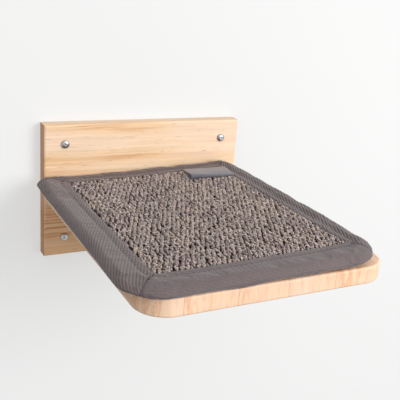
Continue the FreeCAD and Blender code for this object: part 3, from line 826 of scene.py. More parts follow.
def grow(name, plan, values, host=None):
    """Build a tree with an input named after each value, run it, and keep a plain mesh."""
    tree = bpy.data.node_groups.new(name, "GeometryNodeTree")
    kinds = {"Geometry": "Geometry"}
    for label, value in values.items():
        kinds[label] = next(SOCKET_KINDS[sort] for sort in SOCKET_KINDS if isinstance(value, sort))
    for label, kind in kinds.items():
        tree.interface.new_socket(name=label, in_out="INPUT", socket_type="NodeSocket" + kind)
    tree.interface.new_socket(name="Geometry", in_out="OUTPUT", socket_type="NodeSocketGeometry")
    given = tree.nodes.new("NodeGroupInput").outputs
    real = add(tree, "GeometryNodeRealizeInstances", {"Geometry": plan(tree, given)}).outputs[0]
    inputs = {"Geometry": real, "Material": given["Material"]}
    painted = add(tree, "GeometryNodeSetMaterial", inputs).outputs[0]
    add(tree, "NodeGroupOutput", {"Geometry": painted})

    host = host or put_in_scene(name, bpy.data.meshes.new(name))
    modifier = host.modifiers.new("grow", "NODES")
    modifier.node_group = tree
    for item in tree.interface.items_tree:
        if item.in_out == "INPUT" and item.name in values:
            modifier[item.identifier] = values[item.name]
    host.update_tag()
    depsgraph = bpy.context.evaluated_depsgraph_get()
    mesh = bpy.data.meshes.new_from_object(host.evaluated_get(depsgraph), depsgraph=depsgraph)
    host.modifiers.remove(modifier)
    host.data, host.name = mesh, name
    mesh.polygons.foreach_set("use_smooth", [True] * len(mesh.polygons))
    return host


def set_on(points, pattern, turn, size=(1, 1, 1), pick=None):
    """A pattern on every point: an object, or a collection's member picked by its number."""
    tree = points.id_data
    inputs = {"Points": points, "Rotation": turn, "Scale": size}
    if pick is None:
        shape = add(tree, "GeometryNodeObjectInfo", {"Object": pattern}, transform_space="ORIGINAL")
        inputs["Instance"] = shape.outputs["Geometry"]
    else:
        inputs["Instance"] = add(tree, "GeometryNodeCollectionInfo", {
            "Collection": pattern, "Separate Children": True, "Reset Children": True}).outputs[0]
        inputs.update({"Pick Instance": True, "Instance Index": pick})
    return add(tree, "GeometryNodeInstanceOnPoints", inputs).outputs[0]


def random_value(kind, low, high, seed, more=0):
    """A random value for each point. more tells apart the draws from one seed."""
    places = {"FLOAT_VECTOR": (0, 1, 0), "FLOAT": (2, 3, 1), "INT": (4, 5, 2)}[kind]
    inputs = {places[0]: low, places[1]: high, 8: maths("ADD", seed, more) if more else seed}
    return add(seed.id_data, "FunctionNodeRandomValue", inputs, data_type=kind).outputs[places[2]]


def grid_points(tree, given):
    inputs = {"Size X": given["Width"], "Size Y": given["Depth"],
              "Vertices X": given["Columns"], "Vertices Y": given["Rows"]}
    return add(tree, "GeometryNodeMeshGrid", inputs).outputs["Mesh"]


def moved_points(points, offset):
    inputs = {"Geometry": points, "Offset": offset}
    return add(points.id_data, "GeometryNodeSetPosition", inputs).outputs[0]


def patterns(name, *objects):
    """Small shapes that are only copied: kept in a collection that isn't rendered."""
    store = bpy.data.collections.new(name)
    for item in objects:
        bpy.context.scene.collection.objects.unlink(item)
        store.objects.link(item)
    return store


def settle(piece, x=0.0, y=0.0, curled=True, tuck=None):
    """Move a grown mesh within its object, tuck its edge in, and lift it by the curl."""
    points = read_points(piece.data) + (x, y, 0)
    if tuck:
        points[:, 2] -= tuck(points)
    points = lift_with_curl(points) if curled else points
    piece.data.vertices.foreach_set("co", (points * MM).ravel())
    piece.data.update()
    return piece


print("trees can now be grown")

# %% [markdown]
# ## Sisal weave
#
# The panel is woven like a rough carpet. Its yarns run from the wall to the front,
# 2.6 mm apart. Each arches over the cross yarns and dives under again every 10.9 mm,
# and its neighbours do so half a step later, which leaves a hole beside the middle of
# every arch. The holes are dark partly by their depth and partly by painted shade, on
# the yarn where it dives and on the ground below. Four slightly different arches are
# made once, and the tree places them row by row.

# %% Arches of yarn
YARN_SPACING, LOOP_LENGTH = 2.63, 10.9
LOOP_TOP, LOOP_DIVE, LOOP_FLAT, LOOP_CROWN = 19.75, 14.8, 3.0, 0.35
STRAND_RADIUS, PLY_RADIUS, PLY_SIDES = 0.98, 0.60, 4
ARCH_RINGS = (-5.45, -4.4, -2.6, 0.0, 2.6, 4.4, 5.45)
# how far each arch leans, how often its strands go round, and where they start
ARCHES = {"arch_a": (0.15, 0.7, 0.0), "arch_b": (-0.15, -0.9, 0.8),
          "arch_c": (0.08, 0.6, 1.6), "arch_d": (-0.1, -0.8, 2.4)}


def arch_height(y):
    """Height of the yarn's middle: a low crown, then a steep dive at each end."""
    share = min(max((abs(y) - LOOP_FLAT) / (LOOP_LENGTH / 2 - LOOP_FLAT), 0), 1)
    crown = LOOP_CROWN * (1 - (2 * y / LOOP_LENGTH) ** 2)
    return LOOP_TOP + crown - (LOOP_TOP - LOOP_DIVE) * share**1.3


def yarn_arch(name, lean, twist, turn):
    """One arch of two-ply yarn along Y: two strands wound round each other."""
    points, uv, faces = [], [], []
    for ply in range(2):
        faces += tube_faces(len(ARCH_RINGS), PLY_SIDES, first=len(points))
        for y in ARCH_RINGS:
            winding = turn + math.pi * ply + twist * y / LOOP_LENGTH * 2 * math.pi
            x = lean * math.sin(y * 1.2) + math.cos(winding) * PLY_RADIUS
            z = arch_height(y) + math.sin(winding) * PLY_RADIUS * 0.8
            for j in range(PLY_SIDES):
                angle = 2 * math.pi * j / PLY_SIDES + 0.4 + winding
                points.append((x + math.cos(angle) * STRAND_RADIUS, y,
                               z + math.sin(angle) * STRAND_RADIUS))
                uv.append((j / PLY_SIDES * 5 + 7 * ply, y))
    return outward(make_piece(name, points, faces, SISAL_YARN, uv))


def sisal_finish():
    """Stiff, dull fibres: grey-brown yarn with pale strands twisted round it."""
    material, place = new_finish("sisal_weave")
    tree = material.node_tree
    strands = noise(place, (1500, 480, 1500), 3.0, 0.65, 0.6, turn=(0, 0, 0.6))
    twist = noise(place, 800.0, 2.0, 0.6)
    base = ramp(strands, (0.36, rgb(92, 80, 79)), (0.46, rgb(176, 162, 159)),
                (0.55, rgb(222, 209, 204)), (0.64, rgb(255, 250, 244)))
    base = mix(ramp(twist, (0.52, 0.0), (0.74, 0.6)), base, rgb(116, 101, 100))
    tint = add(tree, "ShaderNodeAttribute", attribute_name="tint").outputs["Fac"]
    base = times(base, ramp(tint, (0.0, rgb(226, 220, 220)), (0.6, rgb(255, 251, 251)),
                            (0.93, rgb(255, 249, 242)), (1.0, rgb(255, 243, 222))))
    patches = noise(place, 28.0, 4.0, 0.65)
    base = times(base, ramp(patches, (0.35, rgb(228, 222, 224)), (0.65, rgb(255, 251, 245))))
    # painted shade: each arch darkens towards its ends, where it dives into the holes
    along = maths("DIVIDE", maths("ABSOLUTE", axes_of(cloth_uv(tree))[1]), LOOP_LENGTH / 2 * MM)
    base = times(base, ramp(along, (0.58, 1.0), (0.78, 0.04)))
    return dress(material, base, 0.8, maths("ADD", strands, twist), 0.8, 0.0005)


SISAL_YARN = sisal_finish()
arches = patterns("yarn_arches", *[yarn_arch(name, *shape) for name, shape in ARCHES.items()])

# %% [markdown]
# The tree starts from a flat grid of points. Every other column is pushed half an arch
# forward, each point is shaken a little, and an arch is set on it with its own tilt,
# size and tint.

# %% Weave the panel
WEAVE_SHIFT, EDGE_DROP, EDGE_REACH = -1.5, 1.9, 4.5


def weave(tree, given):
    seed = given["Seed"]
    x = axes_of(add(tree, "GeometryNodeInputPosition").outputs[0])[0]
    number = maths("ROUND", maths("DIVIDE", maths("ADD", x, 1.0), given["Spacing"]))
    push = maths("MULTIPLY", maths("SUBTRACT", maths("MODULO", number, 2.0), 0.5),
                 maths("MULTIPLY", given["Loop Length"], 0.5))
    pushed = moved_points(grid_points(tree, given), join(0.0, push, 0.0))
    shake = random_value("FLOAT_VECTOR", (-1, -1, -1), (1, 1, 1), seed)
    shaken = moved_points(pushed, vectors("SCALE", shake, given["Shake"])[0])
    tilt = random_value("FLOAT_VECTOR", (-0.04, -0.06, -0.07), (0.04, 0.06, 0.07), seed, 1)
    size = random_value("FLOAT_VECTOR", (0.9, 0.95, 0.985), (1.12, 1.06, 1.02), seed, 2)
    woven = set_on(shaken, given["Arches"], tilt, size, random_value("INT", 0, 3, seed, 3))
    inputs = {"Geometry": woven, "Name": "tint", "Value": random_value("FLOAT", 0.0, 1.0, seed, 4)}
    return add(tree, "GeometryNodeStoreNamedAttribute", inputs,
               data_type="FLOAT", domain="INSTANCE").outputs[0]


def panel_box(inset=0.0):
    """The lowest and highest corner of the panel's part that the tape leaves open."""
    widths = BINDING_WIDTHS
    return (np.array((MAT_LEFT + widths["left"], MAT_FRONT + widths["front"])) + inset,
            np.array((MAT_RIGHT - widths["right"], MAT_BACK - widths["back"])) - inset)


def under_tape(points):
    """How far to press the weave's edge down, so that it runs in under the tape."""
    low, high = panel_box()
    inside = np.minimum(points[:, :2] - low, high - points[:, :2]).min(axis=1)
    return EDGE_DROP * np.clip(1 - (inside + 0.5) / EDGE_REACH, 0, 1) ** 2


low, high = panel_box(-1.2)
x, y = (low + high) / 2
columns = int((high[0] - low[0]) / YARN_SPACING) + 1
rows = math.ceil((high[1] - low[1] - LOOP_LENGTH / 2) / LOOP_LENGTH)
loops = grow("sisal_loops", weave, {
    "Width": (columns - 1) * YARN_SPACING * MM, "Depth": (rows - 1) * LOOP_LENGTH * MM,
    "Columns": columns, "Rows": rows, "Spacing": YARN_SPACING * MM,
    "Loop Length": LOOP_LENGTH * MM, "Shake": 0.16 * MM, "Seed": 7, "Arches": arches,
    "Material": SISAL_YARN})
settle(loops, x, y + WEAVE_SHIFT, tuck=under_tape)
finish_piece(loops, MAT, "sisal_weave")
print(columns, "columns of", rows, "arches,", len(loops.data.polygons), "faces")

# %% [markdown]
# Below the arches lies the ground of the weave, painted dark as shade, since little light
# gets in. It stands for the panel's solid, and its edge reaches into the slot of the tape.

# %% Ground of the weave
def ground_finish():
    material, place = new_finish("sisal_ground")
    strands = noise(place, (420, 1500, 1500), 3.0, 0.6)
    # painted shade: the ground's colours are kept very dark
    base = ramp(strands, (0.3, rgb(26, 21, 20)), (0.6, rgb(46, 38, 36)), (0.8, rgb(74, 64, 60)))
    return dress(material, base, 0.9, strands, 0.8, 0.0006)


ground = make_slab("sisal_ground", layer_outline, 15.65, 17.3, ground_finish(), 0.5)
finish_piece(ground, MAT, "sisal_weave", "sisal_panel")
print("ground", len(ground.data.polygons))

# %% [markdown]
# Sisal is a stiff leaf fibre, so ends spring out of the yarn everywhere and catch the
# light. Pale, bent hairs are scattered over the panel, each turned its own way.

# %% Loose fibres
FIBRE_COUNT, FIBRE_LENGTH, FIBRE_RADIUS, FIBRE_LIFT = 1700, 4.6, 0.15, 0.85


def thin_tube(name, path, radius, material, sides=3):
    """A thin closed tube along a few points, for a fibre, a hook or a thread."""
    path = np.asarray(path, float)
    travel = np.gradient(path, axis=0)
    travel /= np.linalg.norm(travel, axis=1, keepdims=True)
    side = np.cross(travel, (0.31, 0.2, 0.93))
    side /= np.linalg.norm(side, axis=1, keepdims=True)
    up = np.cross(side, travel)
    points = [point + radius * (math.cos(a) * s + math.sin(a) * u)
              for point, s, u in zip(path, side, up)
              for a in np.arange(sides) * 2 * math.pi / sides]
    return outward(make_piece(name, points, tube_faces(len(path), sides), material))


def fibre_finish():
    material, place = new_finish("sisal_fibre")
    tint = noise(place, 160.0, 3.0, 0.6)
    base = ramp(tint, (0.35, rgb(214, 202, 196)), (0.55, rgb(246, 236, 226)),
                (0.70, rgb(255, 246, 226)))
    return dress(material, base, ramp(tint, (0.3, 0.45), (0.7, 0.65)))


def scatter(tree, given):
    """Shapes strewn over a rectangle, each of its own size and turned its own way."""
    seed = given["Seed"]
    line = add(tree, "GeometryNodeMeshLine", {"Count": given["Count"], "Offset": (0, 0, 0)})
    share = random_value("FLOAT_VECTOR", (-0.5, -0.5, -0.5), (0.5, 0.5, 0.5), seed)
    room = join(given["Width"], given["Depth"], given["Rise"])
    raised = join(0.0, 0.0, given["Height"])
    placed = vectors("ADD", vectors("MULTIPLY", share, room)[0], raised)[0]
    points = moved_points(line.outputs[0], placed)
    turn = random_value("FLOAT_VECTOR", (-1, -1, -3.1416), (1, 1, 3.1416), seed, 1)
    turn = vectors("MULTIPLY", turn, join(given["Lean"], given["Lean"], 1.0))[0]
    size = random_value("FLOAT", 0.55, 1.35, seed, 2)
    return set_on(points, given["Shapes"], turn, size, random_value("INT", 0, 2, seed, 3))


def fibre(name, rise, sway):
    path = [(sway * math.sin(5 * t), t * FIBRE_LENGTH, rise * (0.25 - t * t))
            for t in np.linspace(-0.5, 0.5, 5)]
    return thin_tube(name, path, FIBRE_RADIUS, SISAL_FIBRE)


SISAL_FIBRE = fibre_finish()
fibres = patterns("fibres", fibre("fibre_a", 2.4, 0.4), fibre("fibre_b", 3.4, -0.7),
                  fibre("fibre_c", 1.6, 0.9))
low, high = panel_box(1.5)
width, depth = (high - low) * MM
hairs = grow("sisal_fibres", scatter, {
    "Width": width, "Depth": depth, "Count": FIBRE_COUNT, "Lean": 0.22,
    "Height": (LOOP_TOP + FIBRE_LIFT) * MM, "Rise": 0.5 * MM, "Seed": 11, "Shapes": fibres,
    "Material": SISAL_FIBRE})
settle(hairs, *(low + high) / 2, tuck=under_tape)
finish_piece(hairs, MAT, "sisal_weave")
print(FIBRE_COUNT, "fibres,", len(hairs.data.polygons), "faces")

# %% [markdown]
# ## Stitches
#
# One row of lockstitch holds the tape to the mat, and a short row closes each mitre.
# Every stitch is the same little bent thread. The tree walks along a path, drops one at
# even steps and turns it along the way it is going.

# %% Stitches of the binding
STITCH_LENGTH, THREAD_RADIUS = 3.6, 0.28


def sew(tree, given):
    path = add(tree, "GeometryNodeMeshToCurve", {"Mesh": given["Geometry"]}).outputs[0]
    even = add(tree, "GeometryNodeResampleCurve", {"Curve": path, "Length": given["Pitch"]},
               mode="LENGTH").outputs[0]
    way = add(tree, "GeometryNodeInputTangent").outputs[0]
    turn = add(tree, "FunctionNodeAlignRotationToVector", {"Vector": way}, axis="X").outputs[0]
    return set_on(even, given["Stitch"], turn)


def path_host(name, paths):
    """A mesh of edges only: one open line for each path, in millimetres."""
    points, edges = [], []
    for path in paths:
        edges += [(len(points) + i, len(points) + i + 1) for i in range(len(path) - 1)]
        points += [tuple(point) for point in np.asarray(path) * MM]
    mesh = bpy.data.meshes.new(name)
    mesh.from_pydata(points, edges, [])
    return put_in_scene(name, mesh)


def stitch_paths(side):
    """The row along the tape and the row down the mitre at its far end."""
    grid = binding_points[side][0]
    inset = np.linalg.norm(grid[:, :SKIN_COUNT, :2] - grid[:, :1, :2], axis=2)
    seam = np.abs(inset[:, : SKIN_COUNT // 2] - STITCH_INSET).argmin(axis=1)
    along = grid[np.arange(len(grid)), seam][4:-4]
    mitre = grid[-2, 5:50]
    return [along + (0, 0, 0.02), mitre + (0, 0, 0.1)]


def thread_finish():
    material, place = new_finish("binding_thread")
    twist = noise(place, 1400.0, 2.0, 0.6)
    base = ramp(twist, (0.3, rgb(88, 78, 78)), (0.7, rgb(128, 115, 115)))
    return dress(material, base, 0.7, twist, 0.5, 0.0002)


THREAD = thread_finish()
bent = [(t * STITCH_LENGTH, 0, 0.5 * (0.25 - 4 * t**4)) for t in np.linspace(-0.5, 0.5, 6)]
stitch = thin_tube("stitch", bent, THREAD_RADIUS, THREAD, 4)
patterns("stitch_parts", stitch)
paths = [lift_with_curl(path) for side in SIDES for path in stitch_paths(side)]
values = {"Pitch": STITCH_PITCH * MM, "Stitch": stitch, "Material": THREAD}
seams = grow("mat_stitches", sew, values, path_host("mat_stitches", paths))
finish_piece(seams, MAT, "binding_twill")
print("stitches", len(seams.data.polygons) // len(stitch.data.polygons))

# %% [markdown]
# ## Tag
#
# A woven tag is folded double and sewn in behind. Its fold points to the front and has
# sprung open at the left. It is left bare.

# %% Tag
TAG_WIDTH, TAG_DEPTH, TAG_LAYER, TAG_TURN = 56.0, 36.0, 0.8, math.radians(-9)
TAG_CENTRE, TAG_BASE = MAT_RIGHT - 50.5, 20.95
TAG_OPEN, TAG_CLOSED = 5.6, 2.4


def tag_section(loop):
    """The folded tape from the side: distance from the seam, and height."""
    fold, middle = TAG_DEPTH - loop / 2, loop / 2

    def bend(radius, start, end, count):
        return [(fold + radius * math.cos(a), middle + radius * math.sin(a))
                for a in np.radians(np.linspace(start, end, count))]

    def rise(start, end, at_seam, at_fold):
        return [(fold * s, at_fold * s**1.1 + at_seam * (1 - s**1.1))
                for s in np.linspace(start, end, 14)]

    outer = [(fold * s, 0) for s in (0, 0.33, 0.66, 1)] + bend(middle, -72, 72, 11)
    outer += [(fold, loop)] + rise(0.94, 0.0, 2 * TAG_LAYER, loop)
    inner = rise(0.0, 0.97, 1.0, loop - TAG_LAYER) + bend(middle - TAG_LAYER, 80, -80, 9)
    return np.array(outer + inner + [(fold * s, TAG_LAYER) for s in np.linspace(0.97, 0.02, 8)])


def make_tag():
    sine, cosine = math.sin(TAG_TURN), math.cos(TAG_TURN)
    seam = MAT_BACK - BINDING_WIDTHS["back"] - 0.3 - TAG_WIDTH * abs(sine) / 2
    points, uv, shares = [], [], np.linspace(0, 1, 37)
    for share in shares:
        x = (share - 0.5) * TAG_WIDTH
        bow = 0.25 * math.sin(share * 9.0)
        outline = tag_section(TAG_OPEN + (TAG_CLOSED - TAG_OPEN) * share)
        for away, height in outline:
            points.append((TAG_CENTRE + x * cosine + away * sine, seam + x * sine - away * cosine,
                           TAG_BASE + height + bow * away / TAG_DEPTH * (height > TAG_LAYER)))
            uv.append((x, away))
    faces = tube_faces(len(shares), len(outline))
    return outward(make_piece("mat_tag", lift_with_curl(points), faces, tag_finish(), uv))


def tag_finish():
    """A dense satin tape: fine threads across, a faint sheen, paler near its seam."""
    material, place = new_finish("tag_cloth")
    flat = cloth_uv(material.node_tree)
    away = axes_of(flat)[1]
    thread = maths("SINE", maths("MULTIPLY", away, 2 * math.pi / (0.55 * MM)))
    uneven = noise(flat, (260, 1800, 1), 3.0, 0.6)
    base = ramp(uneven, (0.3, rgb(78, 78, 88)), (0.7, rgb(106, 105, 115)))
    base = times(base, ramp(noise(place, 60.0, 3.0, 0.6), (0.3, 0.85), (0.7, 1.1)))
    # paler towards the seam at the back of the tag
    paler_near_seam = ramp(maths("DIVIDE", away, TAG_DEPTH * MM), (0.35, 1.0), (0.75, 0.0))
    base = mix(maths("MULTIPLY", paler_near_seam, 0.6), base, rgb(138, 124, 126))
    return dress(material, base, 0.62, maths("MULTIPLY_ADD", thread, 0.3, uneven), 0.5, 0.0002, 0.3)


tag = finish_piece(make_tag(), MAT, "tag_cloth", "label_tag")
print("tag", len(tag.data.polygons), "faces")

# %% [markdown]
# ## Screws
#
# A screw is turned on a lathe and then threaded. Its outline is swept round an axis,
# and the thread is the same sweep with a radius that also follows the turn, so that the
# ridge climbs. The cross in the head is pressed into the dome. One screw of each kind is
# made, and a tree puts it in its places, each with its cross turned another way.

# %% Screw shapes
THREAD_PITCH, THREAD_DEPTH = 2.2, 0.7
WALL_SCREWS = ("wall_screw_top_left", "wall_screw_top_right", "wall_screw_bottom_left",
               "wall_screw_bottom_right")
SHELF_SCREWS = ("shelf_screw_1", "shelf_screw_2", "shelf_screw_3")
FLAT_HEAD = (0.3, 0.6, 0.9, 1.2, 1.5, 1.8, 2.1, 2.4, 2.8, 3.4, 4.0, 4.4)


def recess_depth(x, z, span, slot, depth):
    """How deep the cross is pressed in at a place of the head."""
    near, far = sorted((abs(x), abs(z)))
    wall = min(max((slot * 0.75 - near) / (slot * 0.45), 0), 1)
    return depth * wall * min(max((span / 2 + 0.3 - far) / 0.9, 0), 1)


def ridge(y, angle):
    """The thread's height, from 0 to 1, at a place along the screw and round it."""
    share = (y / THREAD_PITCH - angle / (2 * math.pi)) % 1
    return max(0, 1 - abs(share - 0.5) * 3.4)


def turned_screw(name, head, shank, thread, material, cross, sides=32):
    """A screw along Y, its head at the lowest y.

    head and shank list (y, radius). thread is its start, the start of the point, its
    radius and the tip. cross is its span, the width of its slot and its depth.
    """
    start, end, radius, tip = thread
    rings = [(y, r, False) for y, r in head + shank]
    for y in np.arange(start, tip, THREAD_PITCH / 7):
        taper = min(1, max(0.02, (tip - y) / (tip - end)))
        rings.append((y, (radius - THREAD_DEPTH) * taper, True))
    points = [(0, head[0][0] + cross[2], 0)]
    for y, r, cut in rings:
        for a in np.arange(sides) * 2 * math.pi / sides:
            raised = r + (THREAD_DEPTH * ridge(y, a) * min(1, r / 1.2) if cut else 0)
            x, z = raised * math.cos(a), raised * math.sin(a)
            points.append((x, y + (recess_depth(x, z, *cross) if y < head[-1][0] else 0), z))
    last = len(points)
    points.append((0, tip, 0))
    faces = [(0, 1 + i, 1 + (i + 1) % sides) for i in range(sides)]
    faces += tube_faces(len(rings), sides, first=1, closed=False)
    faces += [(last, last - 1 - i, last - 1 - (i + 1) % sides) for i in range(sides)]
    return outward(make_piece(name, points, faces, material))


def dome(low, rim, radius, steps):
    """A head's dome from its middle out to the rim."""
    return [(rim - (rim - low) * math.sqrt(max(0, 1 - (r / radius) ** 2 * 0.96)), r)
            for r in np.append(np.arange(0.25, 3.2, 0.25), np.linspace(3.5, radius, steps))]


def steel_finish(name, colour, rough):
    """Zinc-plated steel: a grey metal, unevenly dull, with fine scratches round the head."""
    material, place = new_finish(name)
    dark = tuple(0.62 * level for level in colour)
    base = ramp(noise(place, 420.0, 3.0, 0.6), (0.3, dark), (0.6, colour))
    scratches = noise(place, (1600, 300, 5200), 3.0, 0.6)
    dull = ramp(scratches, (0.3, rough - 0.08), (0.7, rough + 0.12))
    plug(material.node_tree.nodes["Principled BSDF"].inputs["Metallic"], 1.0)
    return dress(material, base, dull, scratches, 0.15, 0.0001)


def drive_in(tree, given):
    points = add(tree, "GeometryNodeMeshToPoints", {"Mesh": given["Geometry"]}).outputs[0]
    turn = random_value("FLOAT", 0.3, 1.3, given["Seed"])
    return set_on(points, given["Screw"], join(0.0, turn, given["Half Turn"]))


def set_screws(name, pattern, nodes, slot, half_turn=0.0):
    """One screw at the middle of each packed screw's box."""
    patterns(name + "_parts", pattern)
    host = path_host(name, [[sum(box(node)) / 2 * (1, 0, 1)] for node in nodes])
    made = grow(name, drive_in, {"Screw": pattern, "Seed": 5, "Half Turn": half_turn,
                                 "Material": pattern.data.materials[0]}, host)
    finish_piece(made, WALL, slot, *nodes)


head, tip = (corner[1] for corner in box(WALL_SCREWS[0]))
rim = head + 2.3
wall_pattern = turned_screw(
    "wall_screw", dome(head, rim, 5.0, 5) + [(rim + 0.3, 5.0), (rim + 0.8, 4.9)],
    [(rim + 0.9, 1.9), (0.9, 1.9)], (1.0, 31.0, 2.5, tip),
    steel_finish("wall_screw_steel", (0.50, 0.50, 0.51), 0.36), (3.0, 0.9, 0.8))
set_screws("wall_screws", wall_pattern, WALL_SCREWS, "wall_screw_steel")
tip, head = (-corner[1] for corner in box(SHELF_SCREWS[0]))
shelf_pattern = turned_screw(
    "shelf_screw", [(head + 0.02 * r, r) for r in FLAT_HEAD] + [(head + 0.4, 4.45)],
    [(head + 2.9, 1.6), (20.0, 1.6)], (20.4, tip - 6, 2.25, tip),
    steel_finish("shelf_screw_steel", (0.50, 0.48, 0.42), 0.34), (4.6, 1.0, 1.8))
set_screws("shelf_screws", shelf_pattern, SHELF_SCREWS, "shelf_screw_steel", math.pi)
print("screws of", [len(made.data.polygons) for made in (wall_pattern, shelf_pattern)], "faces")

# %% [markdown]
# ## Dowels, and the hook and loop tape
#
# Two beech dowels line up the boards. The mat is held by two strips of hook tape on the
# shelf, which grip two strips of loop tape under it. Hooks stand in straight rows, and
# loops lie every way, so the hooks are grown on a grid and the loops are scattered.

# %% Dowels and strips
DOWEL_WOOD = [rgb(238, 208, 172), rgb(228, 192, 150), rgb(214, 174, 130), rgb(196, 146, 100),
              rgb(158, 112, 76)]
STRIP_RADII, STRIP_MARGIN = (1.5, 1.5, 1.5, 1.5), 3.0
HOOK_PATH = [(0, 0, 0), (0, 0.02, 0.45), (0, 0.2, 0.62), (0, 0.42, 0.5), (0, 0.45, 0.3)]
LOOP_ARCS = {"loop_0": (0.9, 0.5), "loop_1": (1.2, 0.6), "loop_2": (0.7, 0.45)}
HOOK_BASE = box("hook_strip_left")[0][2]
LOOP_BASE = MAT_BASE + 2.05


def dowel_finish():
    material, place = new_finish("dowel_wood")
    x, y, z = axes_of(place)
    colour, fine, _ = wood_colour(join(y, x, z), *DOWEL_WOOD)
    return dress(material, colour, ramp(fine, (0.3, 0.5), (0.7, 0.66)), fine, 0.3, 0.0004)


def tape_finish(name, colour, light):
    """Nylon tape: fine threads along it, a little sheen."""
    material, place = new_finish(name)
    threads = noise(place, (2400, 500, 2400), 3.0, 0.6)
    return dress(material, ramp(threads, (0.3, colour), (0.7, light)), 0.55, threads, sheen=0.2)


def stand_in_rows(tree, given):
    points = moved_points(grid_points(tree, given), join(0.0, 0.0, given["Height"]))
    turn = random_value("FLOAT_VECTOR", (-0.12, -0.12, -0.5), (0.12, 0.12, 0.5), given["Seed"])
    return set_on(points, given["Shape"], turn)


def join_pieces(first, second):
    """Make one mesh of two, and drop the second object."""
    work = bmesh.new()
    work.from_mesh(first.data)
    work.from_mesh(second.data)
    work.to_mesh(first.data)
    work.free()
    bpy.data.objects.remove(second)
    return first


def make_strip(node, body, base, top, slot, plan, values):
    """A strip in its packed place, and what its plan grows on it."""
    low, high = box(node)
    curled = body == MAT
    outline = rounded_outline(low, high, STRIP_RADII, 3.0)
    tape = make_slab(node + "_tape", outline, base, top, values["Material"], 0.2, 8.0, curled)
    width, depth, _ = (high - low - STRIP_MARGIN) * MM
    grown = grow(node + "_grown", plan, {"Width": width, "Depth": depth, **values})
    settle(grown, *(low + high)[:2] / 2, curled=curled)
    return finish_piece(join_pieces(tape, grown), body, slot, node)


beech = dowel_finish()
for name in ("dowel_1", "dowel_2"):
    paint_node(name, beech)
hook_tape = tape_finish("hook_tape", rgb(34, 33, 34), rgb(66, 64, 66))
loop_tape = tape_finish("loop_tape", rgb(42, 41, 42), rgb(84, 81, 82))
hook = thin_tube("hook", HOOK_PATH, 0.11, hook_tape)
patterns("hook_parts", hook)
loop_shapes = patterns("loop_shapes", *[
    thin_tube(name, [(width * t, 0, -height * (1 - 4 * t * t)) for t in np.linspace(-0.5, 0.5, 5)],
              0.09, loop_tape) for name, (width, height) in LOOP_ARCS.items()])
hooks = {"Columns": 12, "Rows": 94, "Height": (HOOK_BASE + 0.5) * MM, "Seed": 2, "Shape": hook,
         "Material": hook_tape}
loops = {"Count": 1300, "Lean": 0.35, "Height": (LOOP_BASE - 0.5) * MM, "Rise": 0.1 * MM,
         "Seed": 23, "Shapes": loop_shapes, "Material": loop_tape}
strips = [make_strip("hook_strip_" + side, WALL, HOOK_BASE, HOOK_BASE + 0.6, "hook_tape",
                     stand_in_rows, hooks) for side in ("left", "right")]
strips += [make_strip("loop_strip_" + side, MAT, LOOP_BASE - 0.55, LOOP_BASE, "loop_tape",
                      scatter, loops) for side in ("left", "right")]
print({piece.name: len(piece.data.polygons) for piece in strips})

# %% [markdown]
# ## Wall, floor and light
#
# The backdrop is a pale wall with a pale floor far below. Both are seen only from
# their front, by the camera and in reflections, so that they catch the object's shadow
# but never stand in the way of a view from behind. A large soft lamp stands in front,
# to the right and a little above.

# %% Stage and light
GLOW, GLOW_SHARE = 0.93, 0.50
PALE = (0.80, 0.80, 0.795)
REACH, WALL_AT, FLOOR_AT, WALL_TOP = 3, 0.0004, -0.6, 2.5


def seen_straight(tree):
    """1 for the camera's own rays and their reflections, 0 for all others."""
    rays = add(tree, "ShaderNodeLightPath").outputs
    seen = maths("ADD", rays["Is Camera Ray"], rays["Is Glossy Ray"], clamp=True)
    return maths("ADD", seen, rays["Is Transmission Ray"], clamp=True)


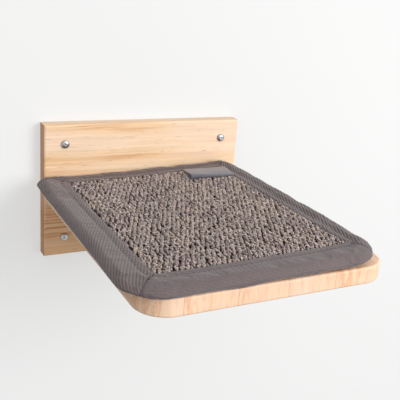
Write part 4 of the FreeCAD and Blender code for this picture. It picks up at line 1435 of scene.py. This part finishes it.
def stage_finish(name, colour):
    material = dress(new_finish(name)[0], (*colour, 1), 1.0)
    tree = material.node_tree
    shader = tree.nodes["Principled BSDF"]
    plug(shader.inputs["Specular IOR Level"], 0.0)
    behind = add(tree, "ShaderNodeNewGeometry").outputs["Backfacing"]
    shown = maths("MULTIPLY", seen_straight(tree), maths("SUBTRACT", 1.0, behind))
    clear = add(tree, "ShaderNodeBsdfTransparent").outputs[0]
    glow = add(tree, "ShaderNodeEmission", {"Color": (GLOW, GLOW, GLOW, 1)}).outputs[0]
    lit = add(tree, "ShaderNodeMixShader", {0: GLOW_SHARE, 1: shader.outputs[0], 2: glow})
    both = add(tree, "ShaderNodeMixShader", {0: shown, 1: clear, 2: lit.outputs[0]})
    plug(tree.nodes["Material Output"].inputs["Surface"], both.outputs[0])
    return material


def stage_sheet(name, corners, material):
    mesh = bpy.data.meshes.new(name)
    mesh.from_pydata(corners, [], [(0, 1, 2, 3)])
    mesh.materials.append(material)
    put_in_scene(name, mesh)


def soft_lamp(name, place, target, size, power):
    data = bpy.data.lights.new(name, "AREA")
    data.shape, data.size, data.energy = "DISK", size, power
    lamp = put_in_scene(name, data)
    lamp.location = place
    lamp.rotation_euler = (Vector(target) - Vector(place)).to_track_quat("-Z", "Y").to_euler()


wall_paint = stage_finish("wall_paint", PALE)
foot = [(-REACH, WALL_AT, FLOOR_AT), (REACH, WALL_AT, FLOOR_AT)]
stage_sheet("wall", foot + [(REACH, WALL_AT, WALL_TOP), (-REACH, WALL_AT, WALL_TOP)], wall_paint)
near_edge = [(-REACH, -REACH, FLOOR_AT), (REACH, -REACH, FLOOR_AT)]
stage_sheet("floor", near_edge + foot[::-1], wall_paint)
soft_lamp("key", (0.90, -1.65, 0.60), (0, -0.1, 0), 1.1, 22.5)
print("wall, floor and lamp in place")

# %% [markdown]
# The sky fills the shadows. It is bright above and in front, and fades evenly to dark
# on the other side. The camera doesn't see that: to it the sky is one pale tone.

# %% Sky
def make_sky(light_from, darkest, brightest, backdrop):
    world = bpy.data.worlds.new("sky")
    bpy.context.scene.world = world
    world.use_nodes = True
    tree = world.node_tree
    toward = add(tree, "ShaderNodeTexCoord").outputs["Generated"]
    side = vectors("DOT_PRODUCT", toward, Vector(light_from).normalized())["Value"]
    level = ramp(maths("MULTIPLY_ADD", side, 0.5, 0.5),
                 (0.28, darkest), (0.55, (darkest + brightest) * 0.34), (0.95, brightest))
    plug(tree.nodes["Background"].inputs["Color"], mix(seen_straight(tree), level, (backdrop,) * 3))


make_sky((-0.15, -0.66, 0.74), 0.07, 1.02, 0.91)
bpy.context.scene.view_settings.view_transform = "Standard"
print("stage set")
